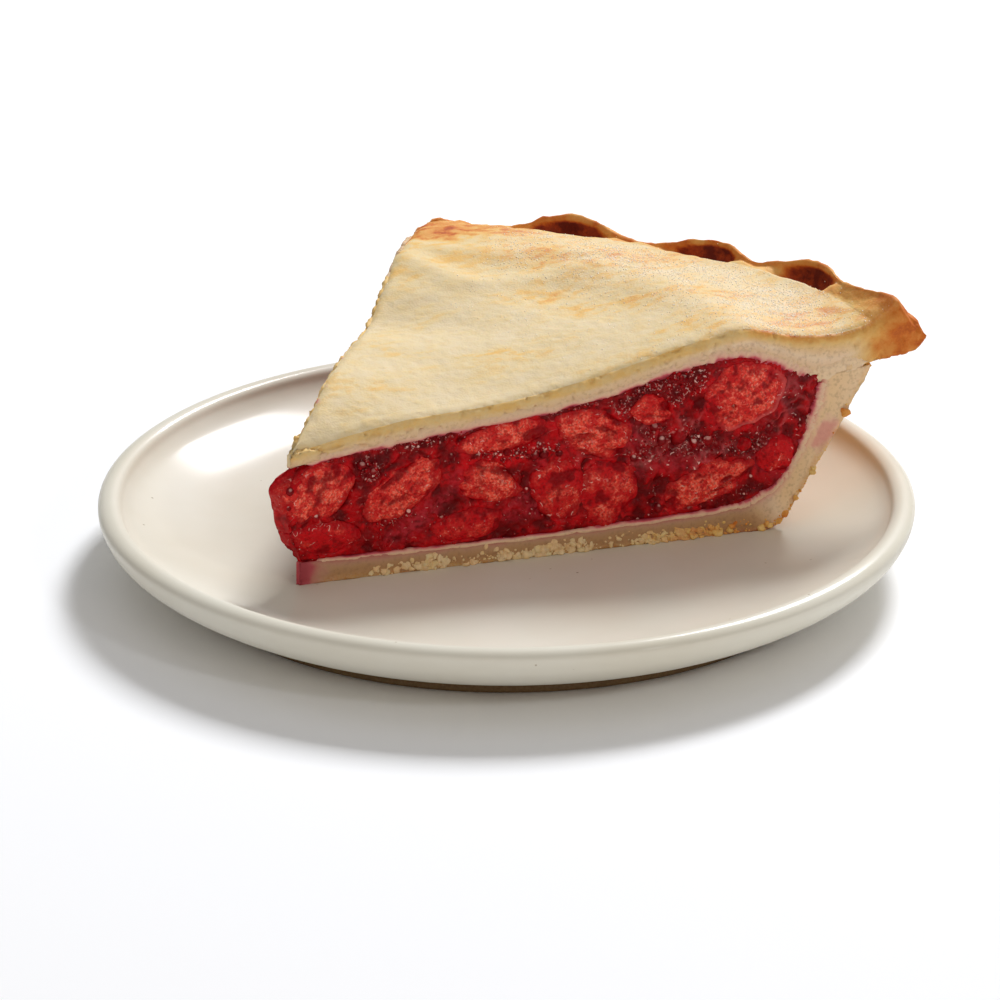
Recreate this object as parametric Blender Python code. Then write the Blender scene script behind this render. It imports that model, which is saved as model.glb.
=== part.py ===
"""A slice of cherry pie on its small stoneware plate.

The slice is a sixth of a deep nine-inch pie: a bottom crust with a slanted wall, a set cherry
filling, and a lid whose edge is pushed out into flutes. The slice is laid out round its own tip:
X runs along the front cut from the tip to the rim, Y points to the back, and Z is up from the
table. At the end everything is moved together so that the origin is under the middle of the
whole, at table height.
"""

import math

import bmesh
import bpy
import numpy as np

MM = 0.001
GAP = 0.3  # between touching pieces, mm

# Plate, mm
PLATE_RADIUS = 77.5
PLATE_HEIGHT = 15.0
PLATE_CENTRE = (44.3, 12.2)  # from the slice's tip
FLOOR_HEIGHT = 5.5
FOOT_RADIUS = 61.6
FOOT_WIDTH = 4.4
FOOT_RECESS = 1.4
PLATE_SIDE = ((61.8, 2.0), (65.0, 3.2), (69.0, 5.0), (73.0, 7.3), (75.8, 9.6), (77.1, 11.6), (PLATE_RADIUS, 13.2))
PLATE_INNER = ((73.5, 14.4), (72.6, 12.9), (70.6, 11.2), (67.0, 9.4), (62.0, 7.5), (57.0, 6.1), (52.0, FLOOR_HEIGHT))
PLATE_STEPS = 56

# Slice, mm and degrees. Heights of the pie are above the plate's floor.
WEDGE = 61.0
TIP_RADIUS = 0.8  # the pieces' tip is this blunt
LID_SEAT = 103.0  # where the lid comes to lie on the wall
LID_ROWS = 37
LID_TIP_PUSH = 3.0  # the lid's tip is squeezed out by the knife, and the filling's more so
LID_TIP_REACH = 6.0
CRUST_ROWS = 13
RIM_CREST = 5.2  # from the edge's outermost line in to its highest
RIM_WAVE = 1.6
RIM_DIP = 1.5  # how much lower the edge is between two flutes
RIM_THICKNESS = 10.7
FLUTES = (0.0, 15.6, 28.6, 45.6, 61.0)  # middle of each flute, degrees from the front cut
FLUTE_HALF_WIDTH = 0.38  # of a pocket, as a share of the way to the next flute
POCKET_DEPTH = 5.0

# Lid outlines along the two cuts: (distance from the tip, height above the floor)
LID_FRONT = (
    (0, 26.8), (8, 28.4), (20, 30.4), (40, 31.9), (60, 35.4), (78, 39.8), (87, 41.5), (98, 39.1), (108, 38.8), (113, 40.0),
)
LID_BACK = (
    (0, 26.8), (6, 30.0), (14, 32.4), (40, 33.2), (56, 31.8), (68, 35.2), (80, 36.8), (96, 37.6), (106, 36.2), (113, 35.4),
)
LID_VALLEY = ((0, 0.0), (60, 0.0), (75, -1.6), (90, -0.6), (102, 0.0), (113, 0.0))  # added half way between the cuts
LID_UNDER = (
    (TIP_RADIUS, 23.7), (5, 24.6), (10, 25.4), (20, 26.5), (35, 27.9), (50, 29.6), (60, 31.2), (70, 33.8), (78, 35.6),
    (84, 36.3), (89, 36.0), (94, 34.2), (98, 32.2), (LID_SEAT, 30.3),
)
LID_SAG = 2.4  # how much lower the lid's underside lies between the cuts, under the valley of its top
LID_SAG_REACH = (60, 78, 89, 98)  # distances from the tip where it starts, is full, starts to end, and ends

# The fluted edge, by angle in degrees
LID_EDGE = ((0, 112.0), (15.6, 111.0), (28.6, 107.5), (45.6, 104.5), (61, 101.5))  # where the lid ends
RIM_REACH = ((0, 122.2), (15.6, 121.4), (28.6, 118.4), (45.6, 116.4), (53, 113.6), (61, 111.0))
RIM_HEIGHT = ((0, 43.4), (15.6, 40.8), (28.6, 38.8), (37.5, 37.2), (45.6, 37.7), (53, 36.6), (61, 35.4))

# Bottom crust section: (distance from the tip, height above the floor)
CRUST_UNDER = (40.0, 70.0, 84.0)  # further points of its flat underside
CRUST_OUTER = (
    (93.6, 0), (96.1, 1.9), (98.6, 5.6), (100.0, 8.4), (100.8, 9.8), (101.6, 10.9),
    (104.4, 15.4), (106.8, 19.4), (109.4, 24.4), (111.8, 28.4), (113.0, 31.2),
)
CRUST_INNER = (
    (103.2, 29.7), (102.5, 25.2), (100.6, 19.4), (98.6, 14.6), (95.0, 9.2), (90.2, 6.1),
    (84.0, 4.9), (60.0, 4.0), (30.0, 3.8), (TIP_RADIUS, 4.2),
)

# Filling: columns by distance from the tip, levels as a share of the height, and how far the tip swells at each height
FILLING_COLUMNS = (*[r for r, _ in LID_UNDER[:-1]], 100.2, 102.0)
FILLING_LEVELS = 6
FILLING_ROWS = 10
TIP_SWELL = ((4.5, 0.2), (6.8, 1.6), (10.5, 4.2), (13.6, 5.3), (17.7, 5.5), (21.2, 4.6), (23.3, 2.2), (25.0, 0.6))
TIP_SWELL_REACH = 9.0
TIP_SWELL_TURN = (46.0, 15.0)  # direction that the swelling points away from, at the front cut and at the back cut

# Cherries on a cut: (name, distance from the tip, height, half length, half height, turn in degrees)
FRONT_CHERRIES = (
    ("tip_upper", 6.3, 18.7, 5.0, 4.7, 0),
    ("tip_lower", 6.5, 9.1, 5.2, 3.9, 0),
    ("torn_long", 20.5, 16.3, 8.4, 4.3, 36),
    ("wedge", 37.6, 16.2, 6.4, 3.7, -22),
    ("under_lid", 40.0, 24.8, 8.8, 2.7, 6),
    ("curled", 57.2, 23.8, 6.6, 4.0, -20),
    ("low_left", 50.4, 13.0, 4.7, 5.4, 10),
    ("low_right", 61.2, 11.1, 5.2, 5.8, 0),
    ("large", 87.3, 28.0, 8.3, 7.2, 5),
    ("slanted", 79.0, 11.0, 9.5, 3.6, 20),
    ("fibre", 69.2, 26.8, 3.8, 2.6, -10),
    ("bottom", 33.4, 8.0, 5.6, 2.8, 4),
    ("by_wall", 93.6, 15.8, 3.4, 3.2, 30),
)
BACK_CHERRIES = (
    ("inner", 20.0, 17.6, 6.8, 5.6, 15),
    ("inner_low", 34.5, 10.0, 7.0, 4.4, -8),
    ("upper", 42.0, 22.6, 8.2, 3.8, 4),
    ("middle", 57.0, 15.6, 7.4, 6.6, 0),
    ("outer", 74.0, 24.4, 7.6, 6.6, 12),
    ("outer_low", 81.0, 11.2, 8.6, 4.0, 14),
)
CHERRY_DEPTH = 0.42  # half depth into the slice, as a share of length and height together
CHERRY_INSET = 1.2  # of a cherry's middle behind the cut
CHERRY_PROUD = 0.8  # of its sliced face in front of the cut
CHERRY_SEGMENTS = 11
CHERRY_RINGS = 5


def smooth_curve(points, x):
    """Height at x on a smooth curve through the points: a cubic whose slope at each point is that of its neighbours."""
    known_x, known_y = np.array(points, float).T
    slopes = np.gradient(known_y, known_x)
    x = np.clip(x, known_x[0], known_x[-1])
    i = np.clip(np.searchsorted(known_x, x) - 1, 0, len(known_x) - 2)
    span = known_x[i + 1] - known_x[i]
    t = (x - known_x[i]) / span
    return (
        (2 * t**3 - 3 * t**2 + 1) * known_y[i]
        + (t**3 - 2 * t**2 + t) * span * slopes[i]
        + (3 * t**2 - 2 * t**3) * known_y[i + 1]
        + (t**3 - t**2) * span * slopes[i + 1]
    )


def ease(t):
    """0 below 0, 1 above 1, and a smooth rise between."""
    t = np.clip(t, 0, 1)
    return t * t * (3 - 2 * t)


def lid_height(r, angle):
    """The lid's upper side: the front cut's outline turns into the back cut's, over a shallow valley near the edge."""
    share = angle / WEDGE
    across = ease(share)
    line = smooth_curve(LID_FRONT, r) * (1 - across) + smooth_curve(LID_BACK, r) * across
    valley = smooth_curve(LID_VALLEY, r) * math.sin(math.pi * share) ** 2
    lumps = 0.6 * np.sin(r / 8.5 + 1.3) * math.sin(math.pi * share) * ease(r / 25) * ease((100 - r) / 12)
    return line + valley + lumps


def lid_under(r, angle):
    """The lid's underside: its outline at the cuts, lowered over the middle third of the way between them."""
    between = np.interp(angle, (0, WEDGE / 3, WEDGE * 2 / 3, WEDGE), (0, 1, 1, 0))
    sag = LID_SAG * between * np.interp(r, LID_SAG_REACH, (0, 1, 1, 0))
    return float(np.interp(r, *np.array(LID_UNDER).T) - sag)


def flute_phase(angle):
    """0 in the middle of the first flute, 1 in the middle of the second, and so on."""
    return float(np.interp(angle, FLUTES, range(len(FLUTES))))


def pocket_share(angle):
    """1 in the middle of a flute, 0 outside its width. The first and last flute are closed by the cuts."""
    phase = flute_phase(angle)
    nearest = round(phase)
    if nearest in (0, len(FLUTES) - 1):
        return 0.0
    return float(ease(1.3 * (1 - abs(phase - nearest) / FLUTE_HALF_WIDTH)))


def rim_line(angle):
    """The fluted edge at this angle: how far out it reaches, and how high its crest is."""
    wave = math.cos(2 * math.pi * flute_phase(angle))
    dip = RIM_DIP * (1 - wave) / 2 * ease(angle / 20)
    return float(smooth_curve(RIM_REACH, angle)) + RIM_WAVE * wave, float(smooth_curve(RIM_HEIGHT, angle) - dip)


def wall_pull(angle):
    """How much further in the wall's top lies than at the front cut."""
    return 0.6 * (RIM_REACH[0][1] - float(smooth_curve(RIM_REACH, angle)))


def lid_section(angle):
    """The lid with its fluted edge, as a closed outline of (r, z): out along the top, round the edge, and back under."""
    pocket = POCKET_DEPTH * pocket_share(angle)
    edge, top = rim_line(angle)
    wall_top = CRUST_OUTER[-1][0] - wall_pull(angle)
    under = CRUST_OUTER[-1][1] + 0.7
    bottom = max(under, top - RIM_THICKNESS)
    thick = top - bottom
    inner = float(smooth_curve(LID_EDGE, angle))
    inner_z = float(lid_height(inner, angle))
    crest = edge - RIM_CREST
    width = crest - inner
    outline = [(r, float(lid_height(r, angle))) for r in np.linspace(TIP_RADIUS, inner, 15)]
    outline += [
        (inner + 0.15 * width, inner_z + 0.1 * (top - inner_z) - 0.65 * pocket),
        (inner + 0.35 * width, inner_z + 0.3 * (top - inner_z) - pocket),
        (inner + 0.82 * width, top - 0.5 - 0.8 * pocket),
        (crest, top),
        (edge - 3.0, top - 0.26 * thick),
        (edge - 0.9, top - 0.48 * thick),
        (edge, top - 0.73 * thick),
        (edge - 1.6, top - 0.93 * thick),
        (max(edge - 4.2, wall_top + 0.7), bottom),
        (wall_top + 0.4, under),
    ]
    return outline + [(r, lid_under(r, angle)) for r, _ in reversed(LID_UNDER)]


def plate_inside(height):
    """How far from its axis the plate's inner side lies at this height above the table."""
    radii, heights = np.array(PLATE_INNER[::-1]).T
    return float(np.interp(height, heights, radii))


def reach_in_plate(angle, z):
    """How far from the tip the crust may lie in this direction and still clear the plate's side."""
    height = z + FLOOR_HEIGHT + GAP
    if height > PLATE_HEIGHT + 0.8:
        return math.inf
    limit = plate_inside(height) - 2 * GAP
    x, y = PLATE_CENTRE
    along = x * math.cos(math.radians(angle)) + y * math.sin(math.radians(angle))
    return along + math.sqrt(along**2 - x**2 - y**2 + limit**2)


def crust_section(angle):
    """The bottom crust: out along its underside, up the wall's outer side, and back down inside.

    Its foot is pressed in where the slice's back corner reaches the plate's side.
    """
    pull, top = wall_pull(angle), CRUST_OUTER[-1][1]
    wall = [(r - pull * ease(z / top), z) for r, z in CRUST_OUTER]
    wall = [(min(r, reach_in_plate(angle, z)), z) for r, z in wall]
    shrink = wall[0][0] / CRUST_OUTER[0][0]
    under = [(TIP_RADIUS, 0.0), *[(r * shrink, 0.0) for r in CRUST_UNDER]]
    return under + wall + list(CRUST_INNER)


def place(r, z, angle):
    """A section's point in the slice, mm."""
    turn = math.radians(angle)
    return (r * math.cos(turn), r * math.sin(turn), FLOOR_HEIGHT + GAP + z)


def push_tip(point, push, reach, turn):
    """Moves a point away from the direction turn, less and less with its distance from the tip."""
    x, y, z = point
    push *= math.exp(-math.hypot(x, y) / reach)
    return (x - push * math.cos(turn), y - push * math.sin(turn), z)


def squeeze_lid(point):
    """The lid's tip hangs over the crust below."""
    return push_tip(point, LID_TIP_PUSH, LID_TIP_REACH, math.radians(WEDGE / 2))


def swell_filling(point):
    """The filling swells out at the tip, to the sides too."""
    x, y, z = point
    angle = min(max(math.degrees(math.atan2(y, x)), 0.0), WEDGE)
    push = float(smooth_curve(TIP_SWELL, z - FLOOR_HEIGHT))
    return push_tip(point, push, TIP_SWELL_REACH, math.radians(float(np.interp(angle, (0, WEDGE), TIP_SWELL_TURN))))


def new_object(name, mesh, material, frame):
    obj = bpy.data.objects.new(name, mesh)
    bpy.context.scene.collection.objects.link(obj)
    obj.parent = frame
    mesh.materials.append(material)
    return obj


def shade(mesh, sharp_degrees=40):
    mesh.shade_smooth()
    mesh.set_sharp_from_angle(angle=math.radians(sharp_degrees))


def closed_mesh(name, verts, faces):
    """A mesh from points in mm, its faces turned outwards."""
    mesh = bpy.data.meshes.new(name)
    mesh.from_pydata([[c * MM for c in v] for v in verts], [], faces)
    bm = bmesh.new()
    bm.from_mesh(mesh)
    bmesh.ops.recalc_face_normals(bm, faces=bm.faces)
    bm.to_mesh(mesh)
    bm.free()
    shade(mesh)
    return mesh


def swept_mesh(name, section, rows, shape=lambda point: point):
    """Carries a section round from the front cut to the back cut, and caps both ends."""
    angles = np.linspace(0, WEDGE, rows)
    verts = [shape(place(r, z, a)) for a in angles for r, z in section(a)]
    n = len(section(0.0))
    faces = [
        (row * n + i, row * n + (i + 1) % n, (row + 1) * n + (i + 1) % n, (row + 1) * n + i)
        for row in range(rows - 1)
        for i in range(n)
    ]
    faces += [tuple(reversed(range(n))), tuple(range((rows - 1) * n, rows * n))]
    return closed_mesh(name, verts, faces)


def filling_point(column, level, angle):
    """A point of the filling, which takes the space that the two crusts leave, less the gap."""
    inner_r, inner_z = np.array(CRUST_INNER[::-1]).T
    floor = float(np.interp(column + GAP, inner_r, inner_z)) + GAP
    roof = lid_under(column, angle) - GAP
    return swell_filling(place(column, floor + (roof - floor) * level, angle))


def grid_faces(index, first, second):
    """Quads over one side of a block: index gives a corner's number from its place in the two directions."""
    return [
        (index(i, j), index(i + 1, j), index(i + 1, j + 1), index(i, j + 1))
        for i in range(first - 1)
        for j in range(second - 1)
    ]


def filling_mesh():
    """The filling as a block of columns, levels and rows, of which only the outside is kept."""
    columns, levels, rows = len(FILLING_COLUMNS), FILLING_LEVELS, FILLING_ROWS
    places = [(c, lv, r) for r in range(rows) for c in range(columns) for lv in range(levels)]
    outside = [
        p for p in places if p[0] in (0, columns - 1) or p[1] in (0, levels - 1) or p[2] in (0, rows - 1)
    ]
    number = {p: k for k, p in enumerate(outside)}
    verts = [
        filling_point(FILLING_COLUMNS[c], lv / (levels - 1), WEDGE * r / (rows - 1)) for c, lv, r in outside
    ]
    faces = []
    for last, side in ((0, 0), (columns - 1, 0), (0, 1), (levels - 1, 1), (0, 2), (rows - 1, 2)):
        spans = [(columns, levels, rows)[k] for k in range(3) if k != side]
        faces += grid_faces(lambda i, j, s=side, v=last: number[(i, j)[:s] + (v,) + (i, j)[s:]], *spans)
    return closed_mesh("filling", verts, faces)


def plate_outline():
    """The plate's section from the middle of its underside, round the rim, to the middle of its floor."""
    return [
        (0.0, FOOT_RECESS),
        (FOOT_RADIUS - FOOT_WIDTH - FOOT_RECESS, FOOT_RECESS),
        (FOOT_RADIUS - FOOT_WIDTH, 0.0),
        (FOOT_RADIUS - 0.4, 0.0),
        (FOOT_RADIUS, 0.5),
        *PLATE_SIDE,
        (PLATE_RADIUS - 0.3, PLATE_HEIGHT - 0.9),
        (PLATE_RADIUS - 1.3, PLATE_HEIGHT - 0.2),
        (PLATE_RADIUS - 2.7, PLATE_HEIGHT),
        *PLATE_INNER,
        (0.0, FLOOR_HEIGHT),
    ]


def plate_mesh():
    """The plate's outline spun round its axis."""
    bm = bmesh.new()
    points = [bm.verts.new((r * MM, 0, z * MM)) for r, z in plate_outline()]
    edges = [bm.edges.new(pair) for pair in zip(points, points[1:])]
    bmesh.ops.spin(bm, geom=points + edges, cent=(0, 0, 0), axis=(0, 0, 1), angle=2 * math.pi, steps=PLATE_STEPS)
    bmesh.ops.remove_doubles(bm, verts=bm.verts, dist=0.01 * MM)
    bmesh.ops.translate(bm, verts=bm.verts, vec=(PLATE_CENTRE[0] * MM, PLATE_CENTRE[1] * MM, 0))
    bmesh.ops.recalc_face_normals(bm, faces=bm.faces)
    mesh = bpy.data.meshes.new("plate")
    bm.to_mesh(mesh)
    bm.free()
    shade(mesh)
    return mesh


def cut_normals():
    """Outward directions of the front cut and of the back cut."""
    back = math.radians(WEDGE)
    return (0.0, -1.0), (-math.sin(back), math.cos(back))


def trim_to_cuts(x, y, proud):
    """Keeps a point no further than proud outside either cut."""
    for nx, ny in cut_normals():
        over = max(x * nx + y * ny - proud, 0.0)
        x, y = x - over * nx, y - over * ny
    return x, y


def cherry_mesh(name, spec, side, seed, grow=0.0):
    """A cherry sliced by the knife: a lumpy ball, stretched and turned along its cut, and flat where the cuts meet it.

    side is 0 for a cherry on the front cut and 1 for one on the back cut.
    """
    _, r, z, half_length, half_height, turn = spec
    turn, cut = math.radians(turn), math.radians(WEDGE * side)
    nx, ny = cut_normals()[side]
    deepest = CHERRY_DEPTH * (half_length + half_height) + grow
    rings = [math.pi * k / CHERRY_RINGS for k in range(1, CHERRY_RINGS)]
    around = [2 * math.pi * k / CHERRY_SEGMENTS for k in range(CHERRY_SEGMENTS)]
    points = [(0.0, 0.0, 1.0), *[(a, math.sin(p), math.cos(p)) for p in rings for a in around], (0.0, 0.0, -1.0)]
    verts = []
    for a, wide, deep in points:
        lump = 1 + 0.05 * math.sin(3 * a + seed) + 0.03 * math.sin(5 * a + 2.3 * seed)
        along = (half_length + grow) * lump * wide * math.cos(a)
        up = (half_height + grow) * lump * wide * math.sin(a)
        out = deepest * deep - CHERRY_INSET
        reach = r + along * math.cos(turn) - up * math.sin(turn)
        height = z + along * math.sin(turn) + up * math.cos(turn)
        x, y = trim_to_cuts(reach * math.cos(cut) + out * nx, reach * math.sin(cut) + out * ny, CHERRY_PROUD + 4 * grow)
        verts.append(swell_filling((x, y, FLOOR_HEIGHT + GAP + height)))
    n, last = CHERRY_SEGMENTS, len(verts) - 1
    faces = [(0, 1 + (i + 1) % n, 1 + i) for i in range(n)]
    for ring in range(CHERRY_RINGS - 2):
        here, below = 1 + ring * n, 1 + (ring + 1) * n
        faces += [(here + i, here + (i + 1) % n, below + (i + 1) % n, below + i) for i in range(n)]
    start = 1 + (CHERRY_RINGS - 2) * n
    faces += [(start + i, start + (i + 1) % n, last) for i in range(n)]
    return closed_mesh(name, verts, faces)


def seat_in(filling, cutter):
    """Cuts a cherry's seat out of the filling."""
    cutter.hide_render = True
    cutter.display_type = "WIRE"
    cut = filling.modifiers.new(cutter.name, "BOOLEAN")
    cut.operation = "DIFFERENCE"
    cut.object = cutter


def surface(name, colour, roughness):
    """A non-metal finish of one colour."""
    material = bpy.data.materials.new(name)
    material.use_nodes = True
    shader = material.node_tree.nodes["Principled BSDF"]
    shader.inputs["Base Color"].default_value = (*colour, 1)
    shader.inputs["Roughness"].default_value = roughness
    material.diffuse_color = (*colour, 1)
    return material


def centre_on_origin(frame, objects):
    """Puts the origin under the middle of the whole, at the height of the foot."""
    points = np.array([v.co for obj in objects for v in obj.data.vertices])
    low, high = points.min(0), points.max(0)
    frame.location = (-(low[0] + high[0]) / 2, -(low[1] + high[1]) / 2, -low[2])


def main():
    for obj in list(bpy.data.objects):
        bpy.data.objects.remove(obj)
    frame = bpy.data.objects.new("pie_frame", None)
    bpy.context.scene.collection.objects.link(frame)

    stoneware = surface("glazed_stoneware", (0.80, 0.77, 0.70), 0.35)
    pastry = surface("baked_pastry", (0.82, 0.66, 0.42), 0.75)
    base_pastry = surface("base_pastry", (0.80, 0.68, 0.50), 0.80)
    gel = surface("cherry_gel", (0.42, 0.01, 0.02), 0.15)
    fruit = surface("cherry_flesh", (0.62, 0.06, 0.04), 0.30)

    filling = new_object("filling", filling_mesh(), gel, frame)
    pieces = [
        new_object("plate", plate_mesh(), stoneware, frame),
        new_object("bottom_crust", swept_mesh("bottom_crust", crust_section, CRUST_ROWS), base_pastry, frame),
        filling,
        new_object("lid_crust", swept_mesh("lid_crust", lid_section, LID_ROWS, squeeze_lid), pastry, frame),
    ]
    for side, (where, cherries) in enumerate((("front", FRONT_CHERRIES), ("back", BACK_CHERRIES))):
        for seed, spec in enumerate(cherries):
            mesh = cherry_mesh(f"cherry_{where}_{spec[0]}", spec, side, seed)
            pieces.append(new_object(mesh.name, mesh, fruit, frame))
            seat = cherry_mesh(f"seat_{where}_{spec[0]}", spec, side, seed, grow=GAP)
            seat_in(filling, new_object(seat.name, seat, fruit, frame))
    centre_on_origin(frame, pieces)


main()
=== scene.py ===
"""Dresses a slice of cherry pie on its small stoneware plate.

Lengths are in millimetres in the slice's own frame until a mesh is written: X runs from the
slice's tip along its front cut, Y points to the back, and Z is up from the table. An angle is
measured at the tip, in degrees from the front cut. Heights of the pie are above the plate's floor.
"""

import itertools
import logging
import math
from dataclasses import dataclass, field
from enum import Enum

import bpy
import numpy as np
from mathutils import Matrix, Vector

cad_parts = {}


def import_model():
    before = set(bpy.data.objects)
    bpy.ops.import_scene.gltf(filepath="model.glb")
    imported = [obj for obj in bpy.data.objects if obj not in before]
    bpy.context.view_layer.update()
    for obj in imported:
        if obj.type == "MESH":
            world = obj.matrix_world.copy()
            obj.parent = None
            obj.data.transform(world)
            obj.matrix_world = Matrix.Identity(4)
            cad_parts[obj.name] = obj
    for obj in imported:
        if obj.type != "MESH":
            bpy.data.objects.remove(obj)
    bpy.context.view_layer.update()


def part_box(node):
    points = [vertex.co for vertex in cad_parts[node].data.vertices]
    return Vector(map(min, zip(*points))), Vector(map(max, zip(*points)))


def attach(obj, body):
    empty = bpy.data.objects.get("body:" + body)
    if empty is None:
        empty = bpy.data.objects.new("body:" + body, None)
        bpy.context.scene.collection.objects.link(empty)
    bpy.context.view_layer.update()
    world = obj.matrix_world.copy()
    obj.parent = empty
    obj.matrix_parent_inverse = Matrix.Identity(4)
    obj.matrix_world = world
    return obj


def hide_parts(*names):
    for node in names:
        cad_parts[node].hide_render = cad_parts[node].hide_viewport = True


LOG = logging.getLogger("cherry_pie")

MM = 0.001
FLOOR_HEIGHT = 5.5  # of the plate's well above the table
GAP = 0.3  # that the solids keep between them
BASE_HEIGHT = FLOOR_HEIGHT + GAP  # of the pie's underside above the table
RESTING_HEIGHT = FLOOR_HEIGHT + 0.02  # of whatever lies loose on the plate
WEDGE = 61.0  # between the two cuts
TIP_RADIUS = 0.8  # where the pieces begin
PLATE_CENTRE = (44.3, 12.2)  # from the tip

SMALLEST = 1e-9  # keeps a division from failing
CUT_TURNS = (0.0, math.radians(WEDGE))  # of the front cut and the back cut

Array = np.ndarray
Points = tuple[tuple[float, float], ...]

OUTWARD = np.array([[0.0, -1.0], [-math.sin(CUT_TURNS[1]), math.cos(CUT_TURNS[1])]])  # from each cut


# ---------------------------------------------------------------- numbers


def ease(t: Array | float) -> Array:
    """A smooth rise from 0 at 0 to 1 at 1: three times the square less twice the cube."""
    t = np.clip(t, 0.0, 1.0)
    return t * t * (3 - 2 * t)


def bell(distance: Array, width: float) -> Array:
    """A bell that is 1 at distance 0 and falls to 1/e at width."""
    return np.exp(-((distance / width) ** 2))


def cubic(t: Array, start: Array, start_slope: Array, end: Array, end_slope: Array) -> Array:
    """The cubic that leaves start and meets end with the given slopes, t of the way between them."""
    rise = ease(t)
    return (
        (1 - rise) * start
        + (t**3 - 2 * t**2 + t) * start_slope
        + rise * end
        + (t**3 - t**2) * end_slope
    )


def smooth_curve(points: Points, x: Array | float) -> Array:
    """A cubic through the points whose slope at each point is that of its neighbours.

    Args:
        points: pairs of a place and the value there.
        x: where the value is wanted.

    Returns:
        The values at x.
    """
    known_x, known_y = np.array(points, float).T
    slopes = np.gradient(known_y, known_x)
    x = np.clip(x, known_x[0], known_x[-1])
    i = np.clip(np.searchsorted(known_x, x) - 1, 0, len(known_x) - 2)
    span = known_x[i + 1] - known_x[i]
    t = (x - known_x[i]) / span
    return cubic(t, known_y[i], span * slopes[i], known_y[i + 1], span * slopes[i + 1])


def through(controls: Array, places: Array) -> Array:
    """A smooth path through control points, each a whole row of points.

    The path between two controls is the cubic that leaves and meets them along the line between
    their neighbours.

    Args:
        controls: array of controls first, whatever each one is after.
        places: numbers of controls, with fractions between them.

    Returns:
        An array of places first.
    """
    slopes = np.gradient(controls, axis=0)
    i = np.clip(np.floor(places).astype(int), 0, len(controls) - 2)
    t = (places - i).reshape(-1, *[1] * (controls.ndim - 1))
    return cubic(t, controls[i], slopes[i], controls[i + 1], slopes[i + 1])


class Noise:
    """Smooth random values, and scattered seeds, from fixed tables."""

    SIDE = 48
    CORNER_SHIFT = 11.3  # keeps the lattice's corners off the origin
    SEED_SHIFT = 5.7
    LAYER_SHIFT = 17.9  # between one layer's values and the next one's
    LAYER_GAIN = 1.5

    def __init__(self, seed: int) -> None:
        """Fills the tables.

        Args:
            seed: picks the tables.
        """
        rng = np.random.default_rng(seed)
        self.values = rng.uniform(-1, 1, (self.SIDE,) * 3)
        self.seeds = rng.uniform(0, 1, (self.SIDE, self.SIDE, self.SIDE, 3))

    def at(self, points: Array, size: float) -> Array:
        """Random values at the corners of a lattice, blended between them with a quintic ease.

        Args:
            points: array of points.
            size: between two corners, mm.

        Returns:
            Values from -1 to 1.
        """
        scaled = points / size + self.CORNER_SHIFT
        cell = np.floor(scaled).astype(int)
        part = scaled - cell
        part = part**3 * (part * (part * 6 - 15) + 10)
        total = np.zeros(len(points))
        for step in itertools.product((0, 1), repeat=3):
            i, j, k = ((cell + step) % self.SIDE).T
            total += np.prod(np.where(step, part, 1 - part), axis=1) * self.values[i, j, k]
        return total

    def layers(self, points: Array, size: float, count: int = 3, fade: float = 0.55) -> Array:
        """Several noises added, each at half the size of the one before and fainter by fade."""
        shares = [fade**k for k in range(count)]
        parts = [s * self.at(points + self.LAYER_SHIFT * k, size * 0.5**k) for k, s in enumerate(shares)]
        return sum(parts) / sum(shares) * self.LAYER_GAIN

    def cells(self, points: Array, size: float) -> tuple[Array, Array]:
        """Distances from each point to the nearest and the second nearest of the scattered seeds.

        Args:
            points: array of points.
            size: of the cell that holds one seed, mm.

        Returns:
            The two distances, as shares of size.
        """
        scaled = points / size + self.SEED_SHIFT
        cell = np.floor(scaled).astype(int)
        near = np.full(len(points), 9.0)
        second = near.copy()
        for step in itertools.product((-1, 0, 1), repeat=3):
            other = cell + step
            i, j, k = (other % self.SIDE).T
            distance = np.linalg.norm(other + self.seeds[i, j, k] - scaled, axis=1)
            second = np.minimum(second, np.maximum(near, distance))
            near = np.minimum(near, distance)
        return near, second


def turn_by(x: Array, y: Array, degrees: float) -> tuple[Array, Array]:
    """A place in a plane, turned about the plane's origin."""
    c, s = math.cos(math.radians(degrees)), math.sin(math.radians(degrees))
    return x * c - y * s, x * s + y * c


@dataclass(frozen=True)
class Patch:
    """A soft-edged ellipse on a cut, or on the lid's top in its plan."""

    x: float
    y: float
    half_x: float
    half_y: float
    turn: float = 0.0
    strength: float = 1.0

    OUTER_EDGE = 1.35  # where the strength has fallen to nothing
    SOFTNESS = 0.7

    def cover(self, x: Array, y: Array, wobble: Array | float = 0.0) -> Array:
        """How much of the patch is at each point.

        The distance from the middle is measured in half widths, made uneven by wobble, and
        turned into a share that falls smoothly round 1.
        """
        across, up = turn_by(x - self.x, y - self.y, -self.turn)
        reach = np.hypot(across / self.half_x, up / self.half_y)
        return self.strength * ease((self.OUTER_EDGE - reach - wobble) / self.SOFTNESS)


def patches(*rows: tuple[float, ...]) -> tuple[Patch, ...]:
    """Patches, each from a row of its numbers."""
    return tuple(Patch(*row) for row in rows)


def covered(several: tuple[Patch, ...], x: Array, y: Array, wobble: Array | float = 0.0) -> Array:
    """The strongest of several patches at each point."""
    return np.max([patch.cover(x, y, wobble) for patch in several], axis=0) if several else np.zeros(len(x))


# ---------------------------------------------------------------- meshes


def grid_quads(number: Array) -> Array:
    """The quads between the points of a grid, from their numbers."""
    corners = [number[:-1, :-1], number[1:, :-1], number[1:, 1:], number[:-1, 1:]]
    return np.stack(corners, -1).reshape(-1, 4)


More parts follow.
